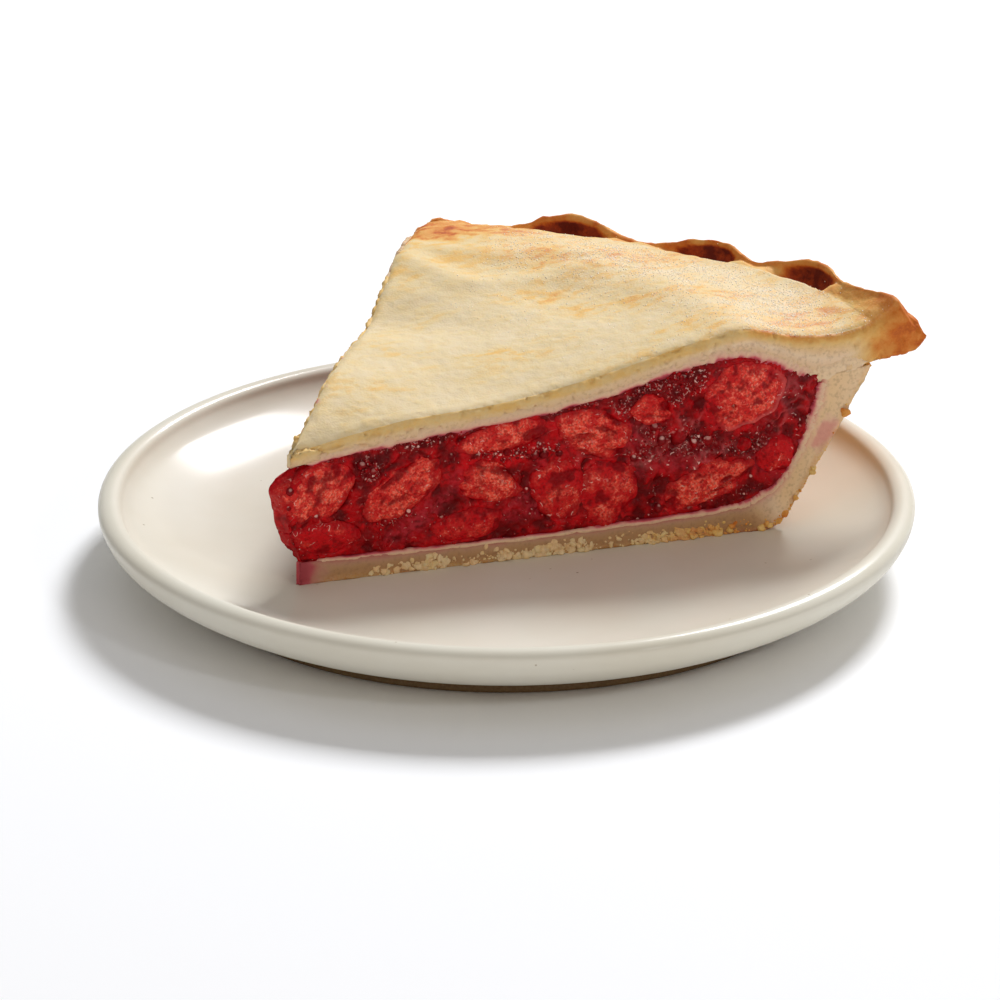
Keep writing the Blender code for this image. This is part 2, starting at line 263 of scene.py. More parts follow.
def block_shell(counts: tuple[int, int, int]) -> tuple[Array, Array]:
    """The outside of a block of lattice points.

    Args:
        counts: of points in the three directions.

    Returns:
        The lattice places of the outside points, and quads between them, facing outwards where
        the three directions are right-handed.
    """
    index = np.indices(counts)
    outside = np.any([(index[a] == 0) | (index[a] == counts[a] - 1) for a in range(3)], axis=0)
    number = np.full(counts, -1)
    number[outside] = np.arange(outside.sum())
    quads = []
    for axis, end in itertools.product(range(3), (0, -1)):
        quad = grid_quads(np.take(number, end, axis=axis))
        quads.append(quad[:, ::-1] if (end == 0) != (axis == 1) else quad)
    return np.argwhere(outside), np.concatenate(quads)


def facing_out(points: Array, quads: Array) -> Array:
    """The quads, all turned over if the volume that they close comes out negative."""
    a, b, c, d = (points[quads[:, k]] for k in range(4))
    volume = np.einsum("ij,ij->", a, np.cross(b, c)) + np.einsum("ij,ij->", a, np.cross(c, d))
    return quads[:, ::-1] if volume < 0 else quads


def quad_areas(points: Array, quads: Array) -> Array:
    """The cross product of each quad's diagonals: along its normal, and twice its area long."""
    corners = points[quads]
    return np.cross(corners[:, 2] - corners[:, 0], corners[:, 3] - corners[:, 1])


def normals_of(points: Array, quads: Array) -> Array:
    """The direction that each corner faces: the mean of its quads', by their area."""
    across = quad_areas(points, quads)
    total = np.zeros_like(points)
    for k in range(4):
        for axis in range(3):
            total[:, axis] += np.bincount(quads[:, k], across[:, axis], len(points))
    return total / np.maximum(np.linalg.norm(total, axis=1, keepdims=True), SMALLEST)


def joined(parts: list[tuple[Array, Array]]) -> tuple[Array, Array]:
    """Several meshes as one: all points, and all quads with their numbers counted on."""
    counts = np.cumsum([0, *(len(points) for points, _ in parts)])
    quads = [faces + count for (_, faces), count in zip(parts, counts)]
    return np.concatenate([points for points, _ in parts]), np.concatenate(quads)


@dataclass
class Layout:
    """Where the slice's own frame lies in the row's frame, worked out from the plate's box."""

    tip: Vector = field(init=False)

    def __post_init__(self) -> None:
        """Finds the tip from the plate's middle."""
        low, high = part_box("plate")
        middle = (low + high) / 2
        self.tip = Vector((middle.x - PLATE_CENTRE[0] * MM, middle.y - PLATE_CENTRE[1] * MM, low.z))

    def world(self, points: Array) -> Array:
        """Points in metres in the row's frame, from mm in the slice's."""
        return points * MM + np.array(self.tip)


def write_piece(
    name: str,
    points: Array,
    quads: Array,
    layout: Layout,
    material: bpy.types.Material,
    slot: str,
    masks: dict[str, Array | float] | None = None,
    nodes: tuple[str, ...] = (),
) -> bpy.types.Object:
    """Makes a piece from points and quads, and enters it in the frame.

    Args:
        name: of the piece.
        points: in mm, in the slice's frame.
        quads: numbers of the four points of each face.
        layout: where the slice lies.
        material: its finish.
        slot: not used.
        masks: values at the points, or one for all, by the name that the material reads.
        nodes: the solids that it stands for.

    Returns:
        The piece.
    """
    mesh = bpy.data.meshes.new(name)
    mesh.vertices.add(len(points))
    mesh.vertices.foreach_set("co", layout.world(points).astype(np.float32).ravel())
    mesh.loops.add(quads.size)
    mesh.loops.foreach_set("vertex_index", quads.astype(np.int32).ravel())
    mesh.polygons.add(len(quads))
    mesh.polygons.foreach_set("loop_start", np.arange(0, quads.size, 4, dtype=np.int32))
    mesh.update(calc_edges=True)
    mesh.validate()
    for key, values in (masks or {}).items():
        values = np.clip(np.broadcast_to(values, len(points)), 0, 1).astype(np.float32)
        mesh.attributes.new(key, "FLOAT", "POINT").data.foreach_set("value", values)
    mesh.shade_smooth()
    mesh.materials.append(material)
    obj = bpy.data.objects.new(name, mesh)
    bpy.context.scene.collection.objects.link(obj)
    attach(obj, "root")
    if nodes:
        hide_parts(*nodes)
    return obj


# ---------------------------------------------------------------- shaders


def linear(code: str) -> tuple[float, float, float, float]:
    """A linear colour from sRGB hex digits."""
    parts = [int(code[i : i + 2], 16) / 255 for i in (0, 2, 4)]
    return (*[c / 12.92 if c <= 0.04045 else ((c + 0.055) / 1.055) ** 2.4 for c in parts], 1.0)


Socket = bpy.types.NodeSocket
Colour = Socket | str
Stops = tuple[tuple[float, str], ...]


class Shader:
    """A material in the making. Sizes are in mm, and a colour is a socket or sRGB hex digits."""

    def __init__(self, name: str, **surface: float | tuple) -> None:
        """Starts a material.

        Args:
            name: of the material.
            surface: constant settings of its surface, by socket name in lower case.
        """
        self.material = bpy.data.materials.new(name)
        self.material.use_nodes = True
        self.tree = self.material.node_tree
        self.surface = self.tree.nodes["Principled BSDF"].inputs
        for key, value in surface.items():
            self.surface[key.replace("_", " ").title().replace("Ior", "IOR")].default_value = value
        place = self.add("TexCoord").outputs["Object"]
        scaled = self.add("VectorMath", {"operation": "SCALE"}, {0: place, "Scale": 1 / MM})
        self.place = scaled.outputs[0]

    def add(self, kind: str, settings: dict | None = None, inputs: dict | None = None) -> bpy.types.Node:
        """Adds a shader node.

        Args:
            kind: of node.
            settings: its properties.
            inputs: by socket name or number, each a value to set or a socket to link.

        Returns:
            The node.
        """
        node = self.tree.nodes.new("ShaderNode" + kind)
        for key, value in (settings or {}).items():
            setattr(node, key, value)
        for key, value in (inputs or {}).items():
            if isinstance(value, Socket):
                self.tree.links.new(value, node.inputs[key])
            else:
                node.inputs[key].default_value = value
        return node

    def calculate(self, operation: str, first: Socket, *others: Socket | float) -> Socket:
        """Works the values in one after another, and keeps each result from 0 to 1."""
        for other in others:
            settings = {"operation": operation, "use_clamp": True}
            first = self.add("Math", settings, {0: first, 1: other}).outputs[0]
        return first

    def times(self, *values: Socket | float) -> Socket:
        """The product of the values."""
        return self.calculate("MULTIPLY", *values)

    def plus(self, *values: Socket | float) -> Socket:
        """The sum of the values, up to 1."""
        return self.calculate("ADD", *values)

    def stretch(self, value: Socket, low: float, high: float, to: tuple[float, float] = (0, 1)) -> Socket:
        """The value, stretched so that low and high become the two ends of to."""
        ends = {"From Min": low, "From Max": high, "To Min": to[0], "To Max": to[1]}
        return self.add("MapRange", None, {"Value": value} | ends).outputs[0]

    def mix(self, share: Socket, first: Colour, second: Colour, mode: str = "MIX") -> Socket:
        """The first colour, turned into the second by share."""
        first, second = (linear(c) if isinstance(c, str) else c for c in (first, second))
        settings = {"data_type": "RGBA", "blend_type": mode, "clamp_factor": True}
        return self.add("Mix", settings, {0: share, 6: first, 7: second}).outputs[2]

    def ramp(self, stops: Stops, value: Socket) -> Socket:
        """The colour at value on a ramp."""
        node = self.add("ValToRGB", None, {0: value})
        elements = node.color_ramp.elements
        while len(elements) < len(stops):
            elements.new(0.5)
        for element, (place, colour) in zip(elements, stops):
            element.position, element.color = place, linear(colour)
        return node.outputs[0]

    def grain(
        self,
        size: float,
        detail: float = 2.0,
        low: float = 0.0,
        high: float = 1.0,
        place: Socket | None = None,
    ) -> Socket:
        """A noise whose lumps are size mm across, stretched so that low and high become 0 and 1."""
        inputs = {"Vector": place or self.place, "Scale": 1 / size, "Detail": detail}
        return self.stretch(self.add("TexNoise", None, inputs).outputs[0], low, high)

    def seeds(self, size: float) -> Socket:
        """The distance to the nearest of scattered seeds, as a share of the size mm between them."""
        return self.add("TexVoronoi", None, {"Vector": self.place, "Scale": 1 / size}).outputs["Distance"]

    def mask(self, name: str) -> Socket:
        """One of the piece's own values, or 0 where it has none by that name."""
        return self.add("Attribute", {"attribute_name": name}).outputs["Fac"]

    def threads(self, size: float, share: Socket) -> Socket:
        """Painted glints: short curved pale strokes, each part of a loop size mm across, as strong as share.

        They lie where a smooth noise passes its middle value, and a second noise breaks them up.
        """
        inputs = {"Vector": self.place, "Scale": 1 / size, "Detail": 1.0, "Distortion": 0.6}
        noise = self.add("TexNoise", None, inputs).outputs[0]
        middle, half_width, gap_size = 0.5, 0.048 / size, 1.2
        line = self.add("Math", {"operation": "COMPARE"}, {0: noise, 1: middle, 2: half_width}).outputs[0]
        return self.times(line, self.grain(gap_size, 1.0, 0.58, 0.66), share)

    def finish(
        self,
        colour: Socket,
        height: Socket | None = None,
        strength: float = 0.0,
        depth: float = 0.0,
        coat: bool = False,
    ) -> bpy.types.Material:
        """Links the colour and the relief.

        Args:
            colour: of the surface.
            height: from 0 to 1, for the fine relief.
            strength: of that relief.
            depth: that a height of 1 stands for, mm.
            coat: whether the coat follows the relief too.

        Returns:
            The finished material.
        """
        self.tree.links.new(colour, self.surface["Base Color"])
        if height is not None:
            bump = self.add("Bump", None, {"Strength": strength, "Distance": depth * MM, "Height": height})
            for socket in ("Normal", "Coat Normal")[: 1 + coat]:
                self.tree.links.new(bump.outputs[0], self.surface[socket])
        return self.material


@dataclass(frozen=True)
class GlazedStoneware:
    """Satin off-white glaze on a sandy clay, left bare on the foot."""

    glaze: str = "e3dfd1"
    warm: str = "ddd7c6"
    clay: str = "7d6444"
    dark_clay: str = "705637"
    speck: str = "a89a80"
    glaze_roughness: float = 0.5
    clay_roughness: float = 0.85

    def material(self) -> bpy.types.Material:
        """Stoneware dipped in an opaque glaze and fired: nearly even in colour, with soft, slightly
        broad highlights, faint pinholes and specks, and a matte sandy foot."""
        shader = Shader(
            "stoneware_glaze", ior=1.5, specular_ior_level=0.12, coat_weight=0.3, coat_roughness=0.16
        )
        glaze = shader.mix(shader.grain(24.0, 3.0, 0.3, 0.7), self.glaze, self.warm)
        specks = shader.stretch(shader.seeds(4.5), 0.07, 0.03)
        glaze = shader.mix(shader.times(specks, shader.grain(9.0, 0.0, 0.56, 0.62)), glaze, self.speck)
        clay = shader.mix(shader.grain(0.5, 2.0, 0.3, 0.7), self.clay, self.dark_clay)
        bare = shader.mask("bare")
        rough = shader.stretch(bare, 0, 1, (self.glaze_roughness, self.clay_roughness))
        shader.tree.links.new(rough, shader.surface["Roughness"])
        return shader.finish(shader.mix(bare, glaze, clay), shader.grain(5.0, 3.0), 0.12, 0.2)


@dataclass(frozen=True)
class BakedPastry:
    """Shortcrust, pale where it lay thick, golden in streaks and dark where it stood up in the heat."""

    bake: Stops = (
        (0.0, "e0cfae"), (0.2, "e2ca98"), (0.4, "e6ba6c"), (0.56, "dc9a4a"), (0.74, "cc6e20"),
        (0.88, "a03c10"), (1.0, "681a08"),
    )
    cut: Stops = ((0.0, "c08e5a"), (0.3, "e2bc92"), (0.65, "ecd0b0"), (1.0, "e6bf84"))
    juice: Stops = ((0.0, "e8c4ae"), (0.35, "de9e94"), (0.6, "ce5e68"), (1.0, "981a30"))
    frost: str = "ecdcc8"
    pore: str = "8f6a4c"
    shade: str = "7a5638"
    rolled: float = 17.0  # direction of the streaks, degrees

    def material(self, name: str) -> bpy.types.Material:
        """Butter pastry rolled out and baked: matte and dry, mottled by how it browned, with a fine
        floury grain on top, an open crumb where it is cut, and fruit juice soaked in from below."""
        shader = Shader(
            name, roughness=0.7, ior=1.45, specular_ior_level=0.35,
            subsurface_weight=0.12, subsurface_scale=1.2 * MM, subsurface_radius=(1.0, 0.6, 0.3),
        )
        along = {"Rotation": (0, 0, math.radians(self.rolled)), "Scale": (0.65, 1, 1)}
        turned_place = shader.add("Mapping", None, {"Vector": shader.place} | along).outputs[0]
        streaks = shader.grain(2.2, 6.0, 0.44, 0.62, turned_place)
        fine = shader.grain(0.45, 2.0, 0.3, 0.7)
        browning = shader.plus(
            shader.mask("bake"), shader.times(streaks, shader.mask("mottle"), 0.28), shader.times(fine, 0.05)
        )
        sparkle = shader.times(shader.grain(0.4, 2.0, 0.35, 0.75), shader.mask("frost"))
        top = shader.mix(sparkle, shader.ramp(self.bake, browning), self.frost)
        pores = shader.times(shader.grain(0.7, 3.0, 0.5, 0.32), 0.3)
        crumb = shader.mix(pores, shader.ramp(self.cut, shader.mask("level")), self.pore)
        soaked = shader.mask("stain")
        colour = shader.mix(shader.mask("cut"), top, crumb)
        colour = shader.mix(shader.times(soaked, 1.6), colour, shader.ramp(self.juice, soaked))
        colour = shader.mix(shader.mask("shade"), colour, self.shade, "MULTIPLY")
        height = shader.plus(shader.times(streaks, 0.4), shader.times(fine, 0.4))
        return shader.finish(colour, height, 0.3, 0.3)


@dataclass(frozen=True)
class CherryGel:
    """Set cherry juice: dark where it is deep, milky where a thin skin of it was dragged by the knife,
    with painted glints as pale specks and strokes.
    """

    body: str = "b0060f"
    deep: str = "620308"
    bright: str = "e0121c"
    film: str = "c02c3a"
    # pale colour of thin films, and of the painted glints and the bubbles' painted highlights
    line: str = "ffcfc6"

    def material(self) -> bpy.types.Material:
        """Cherry juice thickened with starch and cut when set: glossy with juice, almost clear, so it
        is blackish red where it is thick, pinkish along thin drawn films, and frothy in places. Pale
        specks in the foam and pale strokes are painted glints."""
        shader = Shader(
            "set_cherry_gel", roughness=0.4, ior=1.4, specular_ior_level=0.0,
            subsurface_weight=0.1, subsurface_scale=MM, subsurface_radius=(1.0, 0.05, 0.04),
            coat_weight=0.35, coat_roughness=0.07, coat_ior=1.4,
        )
        streak = shader.grain(1.1, 2.0, 0.4, 0.64)
        # Painted glints: pale specks in the foamy gel, and pale strokes where the glint share is high.
        froth_and_glints = shader.times(shader.grain(0.7, 3.0, 0.58, 0.66), shader.mask("froth_and_glints"))
        froth_and_glints = shader.calculate("MAXIMUM", froth_and_glints, shader.threads(3.0, shader.mask("glint_share")))
        colour = shader.mix(shader.grain(2.6, 3.0, 0.36, 0.62), self.deep, self.body)
        # The bright and deep masks are partly painted light and shade; the line mask also holds the bubbles'
        # painted highlights.
        for share, tint in (
            (shader.times(shader.mask("bright"), shader.plus(streak, 0.35)), self.bright),
            (shader.mask("deep"), self.deep),
            (shader.times(shader.mask("haze"), shader.plus(streak, 0.2)), self.film),
            (froth_and_glints, self.line),
            (shader.mask("line"), self.line),
        ):
            colour = shader.mix(share, colour, tint)
        ripple = shader.plus(
            shader.times(shader.grain(1.3, 2.0), 0.7), shader.times(shader.grain(0.5, 1.0), 0.3)
        )
        return shader.finish(colour, ripple, 0.8, 0.7, coat=True)


@dataclass(frozen=True)
class CherryFlesh:
    """A cooked cherry, sliced: grainy orange-red flesh that sinks into the juice at its edge."""

    flesh: str = "ff5442"
    pale: str = "ffa28a"
    red: str = "cc141c"
    juice: str = "7c040c"
    rind: str = "b00b17"
    film: str = "dc6a68"
    # colour of the painted glint strokes
    painted_glint_colour: str = "ffdcd2"

    def material(self) -> bpy.types.Material:
        """Sour cherry stewed in its juice and sliced: fibrous flesh that scatters light, lumpy at
        half a millimetre, covered in juice, and soaked to the colour of the juice at its outline.
        Painted light is in its colour too: lighter on raised folds, the juice's colour as painted
        shade in low folds, and pale strokes as painted glints."""
        shader = Shader(
            "stewed_cherry", roughness=0.45, ior=1.4, specular_ior_level=0.0,
            subsurface_weight=0.15, subsurface_scale=MM, subsurface_radius=(1.0, 0.1, 0.07),
            coat_weight=0.3, coat_roughness=0.1, coat_ior=1.4,
        )
        # The glow mask is partly painted light, higher on raised folds.
        glow = shader.times(shader.mask("glow"), shader.plus(shader.grain(1.8, 5.0, 0.42, 0.58), 0.2))
        colour = shader.mix(glow, self.red, self.flesh)
        for share, tint in (
            (shader.times(shader.grain(0.45, 3.0, 0.48, 0.66), shader.times(glow, 0.7)), self.pale),
            (shader.times(shader.grain(0.55, 3.0, 0.48, 0.36), 0.5), self.juice),
            (shader.mask("rind"), self.rind),
            # Painted shade: the juice's colour in low folds, as well as in real pits.
            (shader.mask("pits_and_shade"), self.juice),
            (shader.mask("line"), self.film),
            # Painted glints: short pale strokes.
            (shader.threads(1.8, shader.mask("glint_share")), self.painted_glint_colour),
        ):
            colour = shader.mix(share, colour, tint)
        lumps = shader.plus(shader.times(shader.seeds(0.9), 0.45), shader.times(shader.grain(0.7, 3.0), 0.5))
        return shader.finish(colour, lumps, 0.8, 0.7, coat=True)


@dataclass(frozen=True)
class Sugar:
    """Sugar crystals."""

    colour: str = "fffaf0"
    melted: str = "fff0d6"

    def material(self) -> bpy.types.Material:
        """Granulated sugar, partly melted on in the oven: hard bright grains, a little see-through."""
        shader = Shader("granulated_sugar", roughness=0.4, ior=1.5)
        return shader.finish(shader.mix(shader.grain(0.8), self.colour, self.melted))


@dataclass(frozen=True)
class StudioPaper:
    """The pale floor under the plate."""

    colour: str = "fbfcfe"

    def material(self) -> bpy.types.Material:
        """Seamless background paper: matte and almost white."""
        paper = linear(self.colour)
        return Shader("studio_paper", roughness=0.9, specular_ior_level=0.0, base_color=paper).material


# ---------------------------------------------------------------- the pie's shared curves


@dataclass(frozen=True)
class PieShape:
    """The curves that the pie's pieces share, with the same sizes as their solids."""

    lid_front: Points = (
        (0, 26.8), (8, 28.4), (20, 30.4), (40, 31.9), (60, 35.4), (78, 39.8), (87, 41.5), (98, 39.1),
        (108, 38.8), (113, 40.0),
    )
    lid_back: Points = (
        (0, 26.8), (6, 30.0), (14, 32.4), (40, 33.2), (56, 31.8), (68, 35.2), (80, 36.8), (96, 37.6),
        (106, 36.2), (113, 35.4),
    )
    lid_valley: Points = ((0, 0.0), (60, 0.0), (75, -1.6), (90, -0.6), (102, 0.0), (113, 0.0))
    lid_under: Points = (
        (0.8, 23.7), (5, 24.6), (10, 25.4), (20, 26.5), (35, 27.9), (50, 29.6), (60, 31.2), (70, 33.8),
        (78, 35.6), (84, 36.3), (89, 36.0), (94, 34.2), (98, 32.2), (103, 30.3), (113.4, 31.7),
    )
    lid_sag: float = 2.4
    lid_sag_reach: tuple[float, ...] = (60.0, 78.0, 89.0, 98.0)
    lid_edge: Points = ((0, 112.0), (15.6, 111.0), (28.6, 107.5), (45.6, 104.5), (61, 101.5))
    rim_reach: Points = ((0, 122.2), (15.6, 121.4), (28.6, 118.4), (45.6, 116.4), (53, 113.6), (61, 111.0))
    rim_height: Points = (
        (0, 43.4), (15.6, 40.8), (28.6, 38.8), (37.5, 37.2), (45.6, 37.7), (53, 36.6), (61, 35.4)
    )
    flutes: tuple[float, ...] = (0.0, 15.6, 28.6, 45.6, 61.0)
    rim_crest: float = 5.2
    rim_wave: float = 1.6
    rim_dip: float = 1.5
    rim_thickness: float = 10.7
    pocket_half_width: float = 0.38
    pocket_depth: float = 5.0
    wall_reach: float = 113.0
    crust_outer: Points = (
        (93.6, 0.0), (96.1, 1.9), (98.6, 5.6), (100.8, 9.8), (104.4, 15.4), (106.8, 19.4), (109.4, 24.4),
        (111.8, 28.4), (113.0, 31.2),
    )
    crust_inner: Points = (
        (0.8, 4.2), (30, 3.8), (60, 4.0), (84.0, 4.9), (90.2, 6.1), (95.0, 9.2), (98.6, 14.6),
        (100.6, 19.4), (102.5, 25.2), (103.2, 29.7),
    )
    lid_push: float = 3.0
    lid_push_reach: float = 6.0
    tip_swell: Points = (
        (4.5, 0.2), (6.8, 1.6), (10.5, 4.2), (13.6, 5.3), (17.7, 5.5), (21.2, 4.6), (23.3, 2.2), (25.0, 0.6),
    )
    tip_swell_reach: float = 9.0
    tip_swell_turn: tuple[float, float] = (46.0, 15.0)
    plate_side: Points = (
        (52.0, FLOOR_HEIGHT), (57.0, 6.1), (62.0, 7.5), (67.0, 9.4), (70.6, 11.2), (72.6, 12.9), (73.5, 14.4)
    )
    clear_of_plate: float = 15.8

    def lid_height(self, r: Array, angle: Array) -> Array:
        """The lid's top: the front outline turns into the back one over a shallow valley near the edge."""
        share = angle / WEDGE
        across = ease(share)
        arch = np.sin(np.pi * np.clip(share, 0, 1))
        line = smooth_curve(self.lid_front, r) * (1 - across) + smooth_curve(self.lid_back, r) * across
        lumps = 0.6 * np.sin(r / 8.5 + 1.3) * arch * ease(r / 25) * ease((100 - r) / 12)
        return line + smooth_curve(self.lid_valley, r) * arch**2 + lumps

    def lid_base(self, r: Array, angle: Array) -> Array:
        """The lid's underside, lower over the middle third of the way between the cuts."""
        between = np.interp(angle, (0, WEDGE / 3, WEDGE * 2 / 3, WEDGE), (0, 1, 1, 0))
        sag = self.lid_sag * between * np.interp(r, self.lid_sag_reach, (0, 1, 1, 0))
        return smooth_curve(self.lid_under, r) - sag

    def phase(self, angle: Array) -> Array:
        """0 in the middle of the first flute, 1 in the middle of the second, and so on."""
        return np.interp(angle, self.flutes, range(len(self.flutes)))

    def pocket_share(self, angle: Array) -> Array:
        """1 in the middle of a flute and 0 outside its width. The cuts close the first and the last."""
        phase = self.phase(angle)
        nearest = np.round(phase)
        open_flute = (nearest > 0) & (nearest < len(self.flutes) - 1)
        return np.where(open_flute, ease(1.3 * (1 - np.abs(phase - nearest) / self.pocket_half_width)), 0.0)

    def rim_line(self, angle: Array) -> tuple[Array, Array]:
        """How far out the fluted edge reaches, and how high its crest is."""
        wave = np.cos(2 * np.pi * self.phase(angle))
        dip = self.rim_dip * (1 - wave) / 2 * ease(angle / 20)
        reach = smooth_curve(self.rim_reach, angle) + self.rim_wave * wave
        return reach, smooth_curve(self.rim_height, angle) - dip

    def wall_pull(self, angle: Array) -> Array:
        """How much further in the wall's top lies than at the front cut."""
        return 0.6 * (self.rim_reach[0][1] - smooth_curve(self.rim_reach, angle))

    def reach_in_plate(self, angle: Array, z: Array) -> Array:
        """How far from the tip the crust may lie in this direction and still clear the plate's side."""
        height = z + BASE_HEIGHT
        radii, heights = np.array(self.plate_side).T
        limit = np.interp(height, heights, radii) - 2 * GAP
        x, y = PLATE_CENTRE
        along = x * np.cos(np.radians(angle)) + y * np.sin(np.radians(angle))
        reach = along + np.sqrt(along**2 - x**2 - y**2 + limit**2)
        return np.where(height > self.clear_of_plate, np.inf, reach)

    def push_tip(self, points: Array, push: Array | float, reach: float, turn: Array | float) -> Array:
        """Moves points against the direction turn, by push times e to the power of minus their
        distance from the tip over reach."""
        share = push * np.exp(-np.hypot(points[:, 0], points[:, 1]) / reach)
        moved = points.copy()
        moved[:, 0] -= share * np.cos(turn)
        moved[:, 1] -= share * np.sin(turn)
        return moved

    def squeeze_lid(self, points: Array) -> Array:
        """The lid's tip hangs over the crust below."""
        return self.push_tip(points, self.lid_push, self.lid_push_reach, math.radians(WEDGE / 2))

    def swell_filling(self, points: Array) -> Array:
        """The filling swells out at the tip, to the sides too."""
        angle = np.clip(np.degrees(np.arctan2(points[:, 1], points[:, 0])), 0, WEDGE)
        push = smooth_curve(self.tip_swell, points[:, 2] - FLOOR_HEIGHT)
        turn = np.radians(np.interp(angle, (0, WEDGE), self.tip_swell_turn))
        return self.push_tip(points, push, self.tip_swell_reach, turn)


def in_slice(r: Array, z: Array, angle: Array) -> Array:
    """Points of a section at an angle: its distance turned into X and Y, and its height from the table."""
    turn = np.radians(angle)
    return np.stack([r * np.cos(turn), r * np.sin(turn), BASE_HEIGHT + z], -1)


def on_cut_face(reach: Array, height: Array, out: Array, side: int) -> Array:
    """Points at a distance along a cut, a height and a distance out of it. Side 0 is the front cut."""
    turn, outward = CUT_TURNS[side], OUTWARD[side]
    x = reach * math.cos(turn) + out * outward[0]
    y = reach * math.sin(turn) + out * outward[1]
    return np.stack([x, y, BASE_HEIGHT + height], -1)


def along_cut(points: Array, side: int) -> tuple[Array, Array]:
    """The distance of points along a cut, and their height. Side 0 is the front cut."""
    turn = CUT_TURNS[side]
    return points[:, 0] * math.cos(turn) + points[:, 1] * math.sin(turn), points[:, 2] - BASE_HEIGHT


def row_angles(middle: int) -> Array:
    """Angles of the rows between the cuts: close together within a couple of degrees of each cut."""
    near = np.array([0.0, 0.1, 0.21, 0.34, 0.5, 0.69, 0.92, 1.2, 1.55])
    near_width = 2.0
    even = np.linspace(near_width, WEDGE - near_width, middle)
    return np.concatenate([near, even, WEDGE - near[::-1]])


def cut_depths(points: Array) -> Array:
    """How deep each point lies behind the front cut and behind the back cut."""
    back = CUT_TURNS[1]
    return np.stack([points[:, 1], points[:, 0] * math.sin(back) - points[:, 1] * math.cos(back)], -1)


def round_cut_edge(points: Array, below: Array, radius: Array, spread: float = 1.0) -> Array:
    """Rounds the edge between the top and each cut.

    A point's place round the edge is how far it is below the top less how far it is behind the
    cut; that difference turns a quarter of an ellipse from level to upright.

    Args:
        points: of the piece.
        below: how far each is below the top.
        radius: of the rounding, up and down.
        spread: how many times wider than high the rounding is.

    Returns:
        The moved points.
    """
    moved = points.copy()
    for side in range(2):
        depth = cut_depths(points)[:, side]
        phi = np.clip(math.pi / 4 * (1 + (below - depth / spread) / radius), 0, math.pi / 2)
        near = (depth < radius * spread) & (below < radius)
        new_depth = np.where(near, spread * radius * (1 - np.sin(phi)), depth)
        new_below = np.where(near, radius * (1 - np.cos(phi)), below)
        moved[:, :2] -= (new_depth - depth)[:, None] * OUTWARD[side]
        moved[:, 2] -= new_below - below
    return moved


# ---------------------------------------------------------------- the plate


@dataclass
class StonewarePlate:
    """A small coupe plate: flat well, side that curves up to a soft lip, and a foot ring."""

    well_radius: float = 52.0
    foot_radius: float = 61.6
    foot_width: float = 4.4
    foot_recess: float = 1.4
    side: Points = (
        (61.8, 2.0), (65.0, 3.2), (69.0, 5.0), (73.0, 7.3), (75.8, 9.6), (77.1, 11.6), (77.5, 13.2)
    )
    lip: Points = ((77.2, 14.1), (76.2, 14.8), (74.8, 15.0))
    inner_side: Points = PieShape.plate_side[::-1]
    around: int = 288
    outer_steps: int = 92
    bare_below: float = 2.6
    warp: float = 0.35
    seed: int = 4

    def profile(self) -> Array:
        """The section from the middle of the underside, round the lip, to the middle of the floor.

        The outer side, the lip and the inner side are one smooth path through their points, which
        runs out level into the well.
        """
        foot, well_edge = (self.foot_radius, 0.6), (47.0, FLOOR_HEIGHT)
        outer = np.array([foot, *self.side, *self.lip, *self.inner_side, well_edge])
        outer = through(outer, np.linspace(0, len(outer) - 1, self.outer_steps))
        under_r = self.foot_radius - self.foot_width
        under = [
            *((r, self.foot_recess) for r in (0.0, 30.0, under_r - 1.6)),
            (under_r - 0.9, 1.0), (under_r - 0.2, 0.2), (under_r + 0.5, 0.0),
            (self.foot_radius - 0.9, 0.0), (self.foot_radius - 0.25, 0.15),
        ]
        well = [(r, FLOOR_HEIGHT) for r in (36.0, 22.0, 10.0, 0.0)]
        return np.concatenate([under, outer, well])

    def build(self, layout: Layout, material: bpy.types.Material) -> bpy.types.Object:
        """Spins the profile round the plate's axis.

        Each point of the profile goes to (r cos a, r sin a, z). Round each of the two middle points
        a fan of quads closes the surface, each quad over two steps of the ring.
        """
        profile = self.profile()
        rings = profile[1:-1]
        turn = np.linspace(0, 2 * math.pi, self.around, endpoint=False)
        wave = 0.12 * np.sin(3 * turn + 0.7) + 0.08 * np.sin(5 * turn)
        lift = (ease((rings[:, 0] - self.well_radius) / 14) * ease((rings[:, 1] - 6.0) / 8))[:, None]
        r = rings[:, 0, None] - self.warp * np.abs(wave)[None] * lift
        x, y = PLATE_CENTRE[0] + r * np.cos(turn), PLATE_CENTRE[1] + r * np.sin(turn)
        z = np.repeat(rings[:, 1, None], self.around, 1)
        ring_points = np.stack([x, y, z], -1).reshape(-1, 3)
        middles = [(*PLATE_CENTRE, z_middle) for z_middle in profile[[0, -1], 1]]
        points = np.concatenate([ring_points, middles])
        n, m = self.around, len(rings)
        i = np.arange(m - 1)[:, None] * n
        j = np.arange(n)[None]
        quads = np.stack([i + j, i + (j + 1) % n, i + n + (j + 1) % n, i + n + j], -1).reshape(-1, 4)
        k = np.arange(0, n, 2)
        low = np.stack([np.full(len(k), m * n), (k + 2) % n, (k + 1) % n, k], -1)
        last = (m - 1) * n
        high = np.stack([np.full(len(k), m * n + 1), last + k, last + (k + 1) % n, last + (k + 2) % n], -1)
        quads = facing_out(points, np.concatenate([quads, low, high]))
        uneven = 0.35 * Noise(self.seed).at(points, 9.0)
        from_middle = np.hypot(points[:, 0] - PLATE_CENTRE[0], points[:, 1] - PLATE_CENTRE[1])
        outside = (from_middle > self.foot_radius - 6) | (points[:, 2] < 2)
        bare = ease((self.bare_below + uneven - points[:, 2]) / 0.5) * outside
        return write_piece(
            "stoneware_plate", points, quads, layout, material, "plate", {"bare": bare}, ("plate",)
        )


# ---------------------------------------------------------------- the crusts


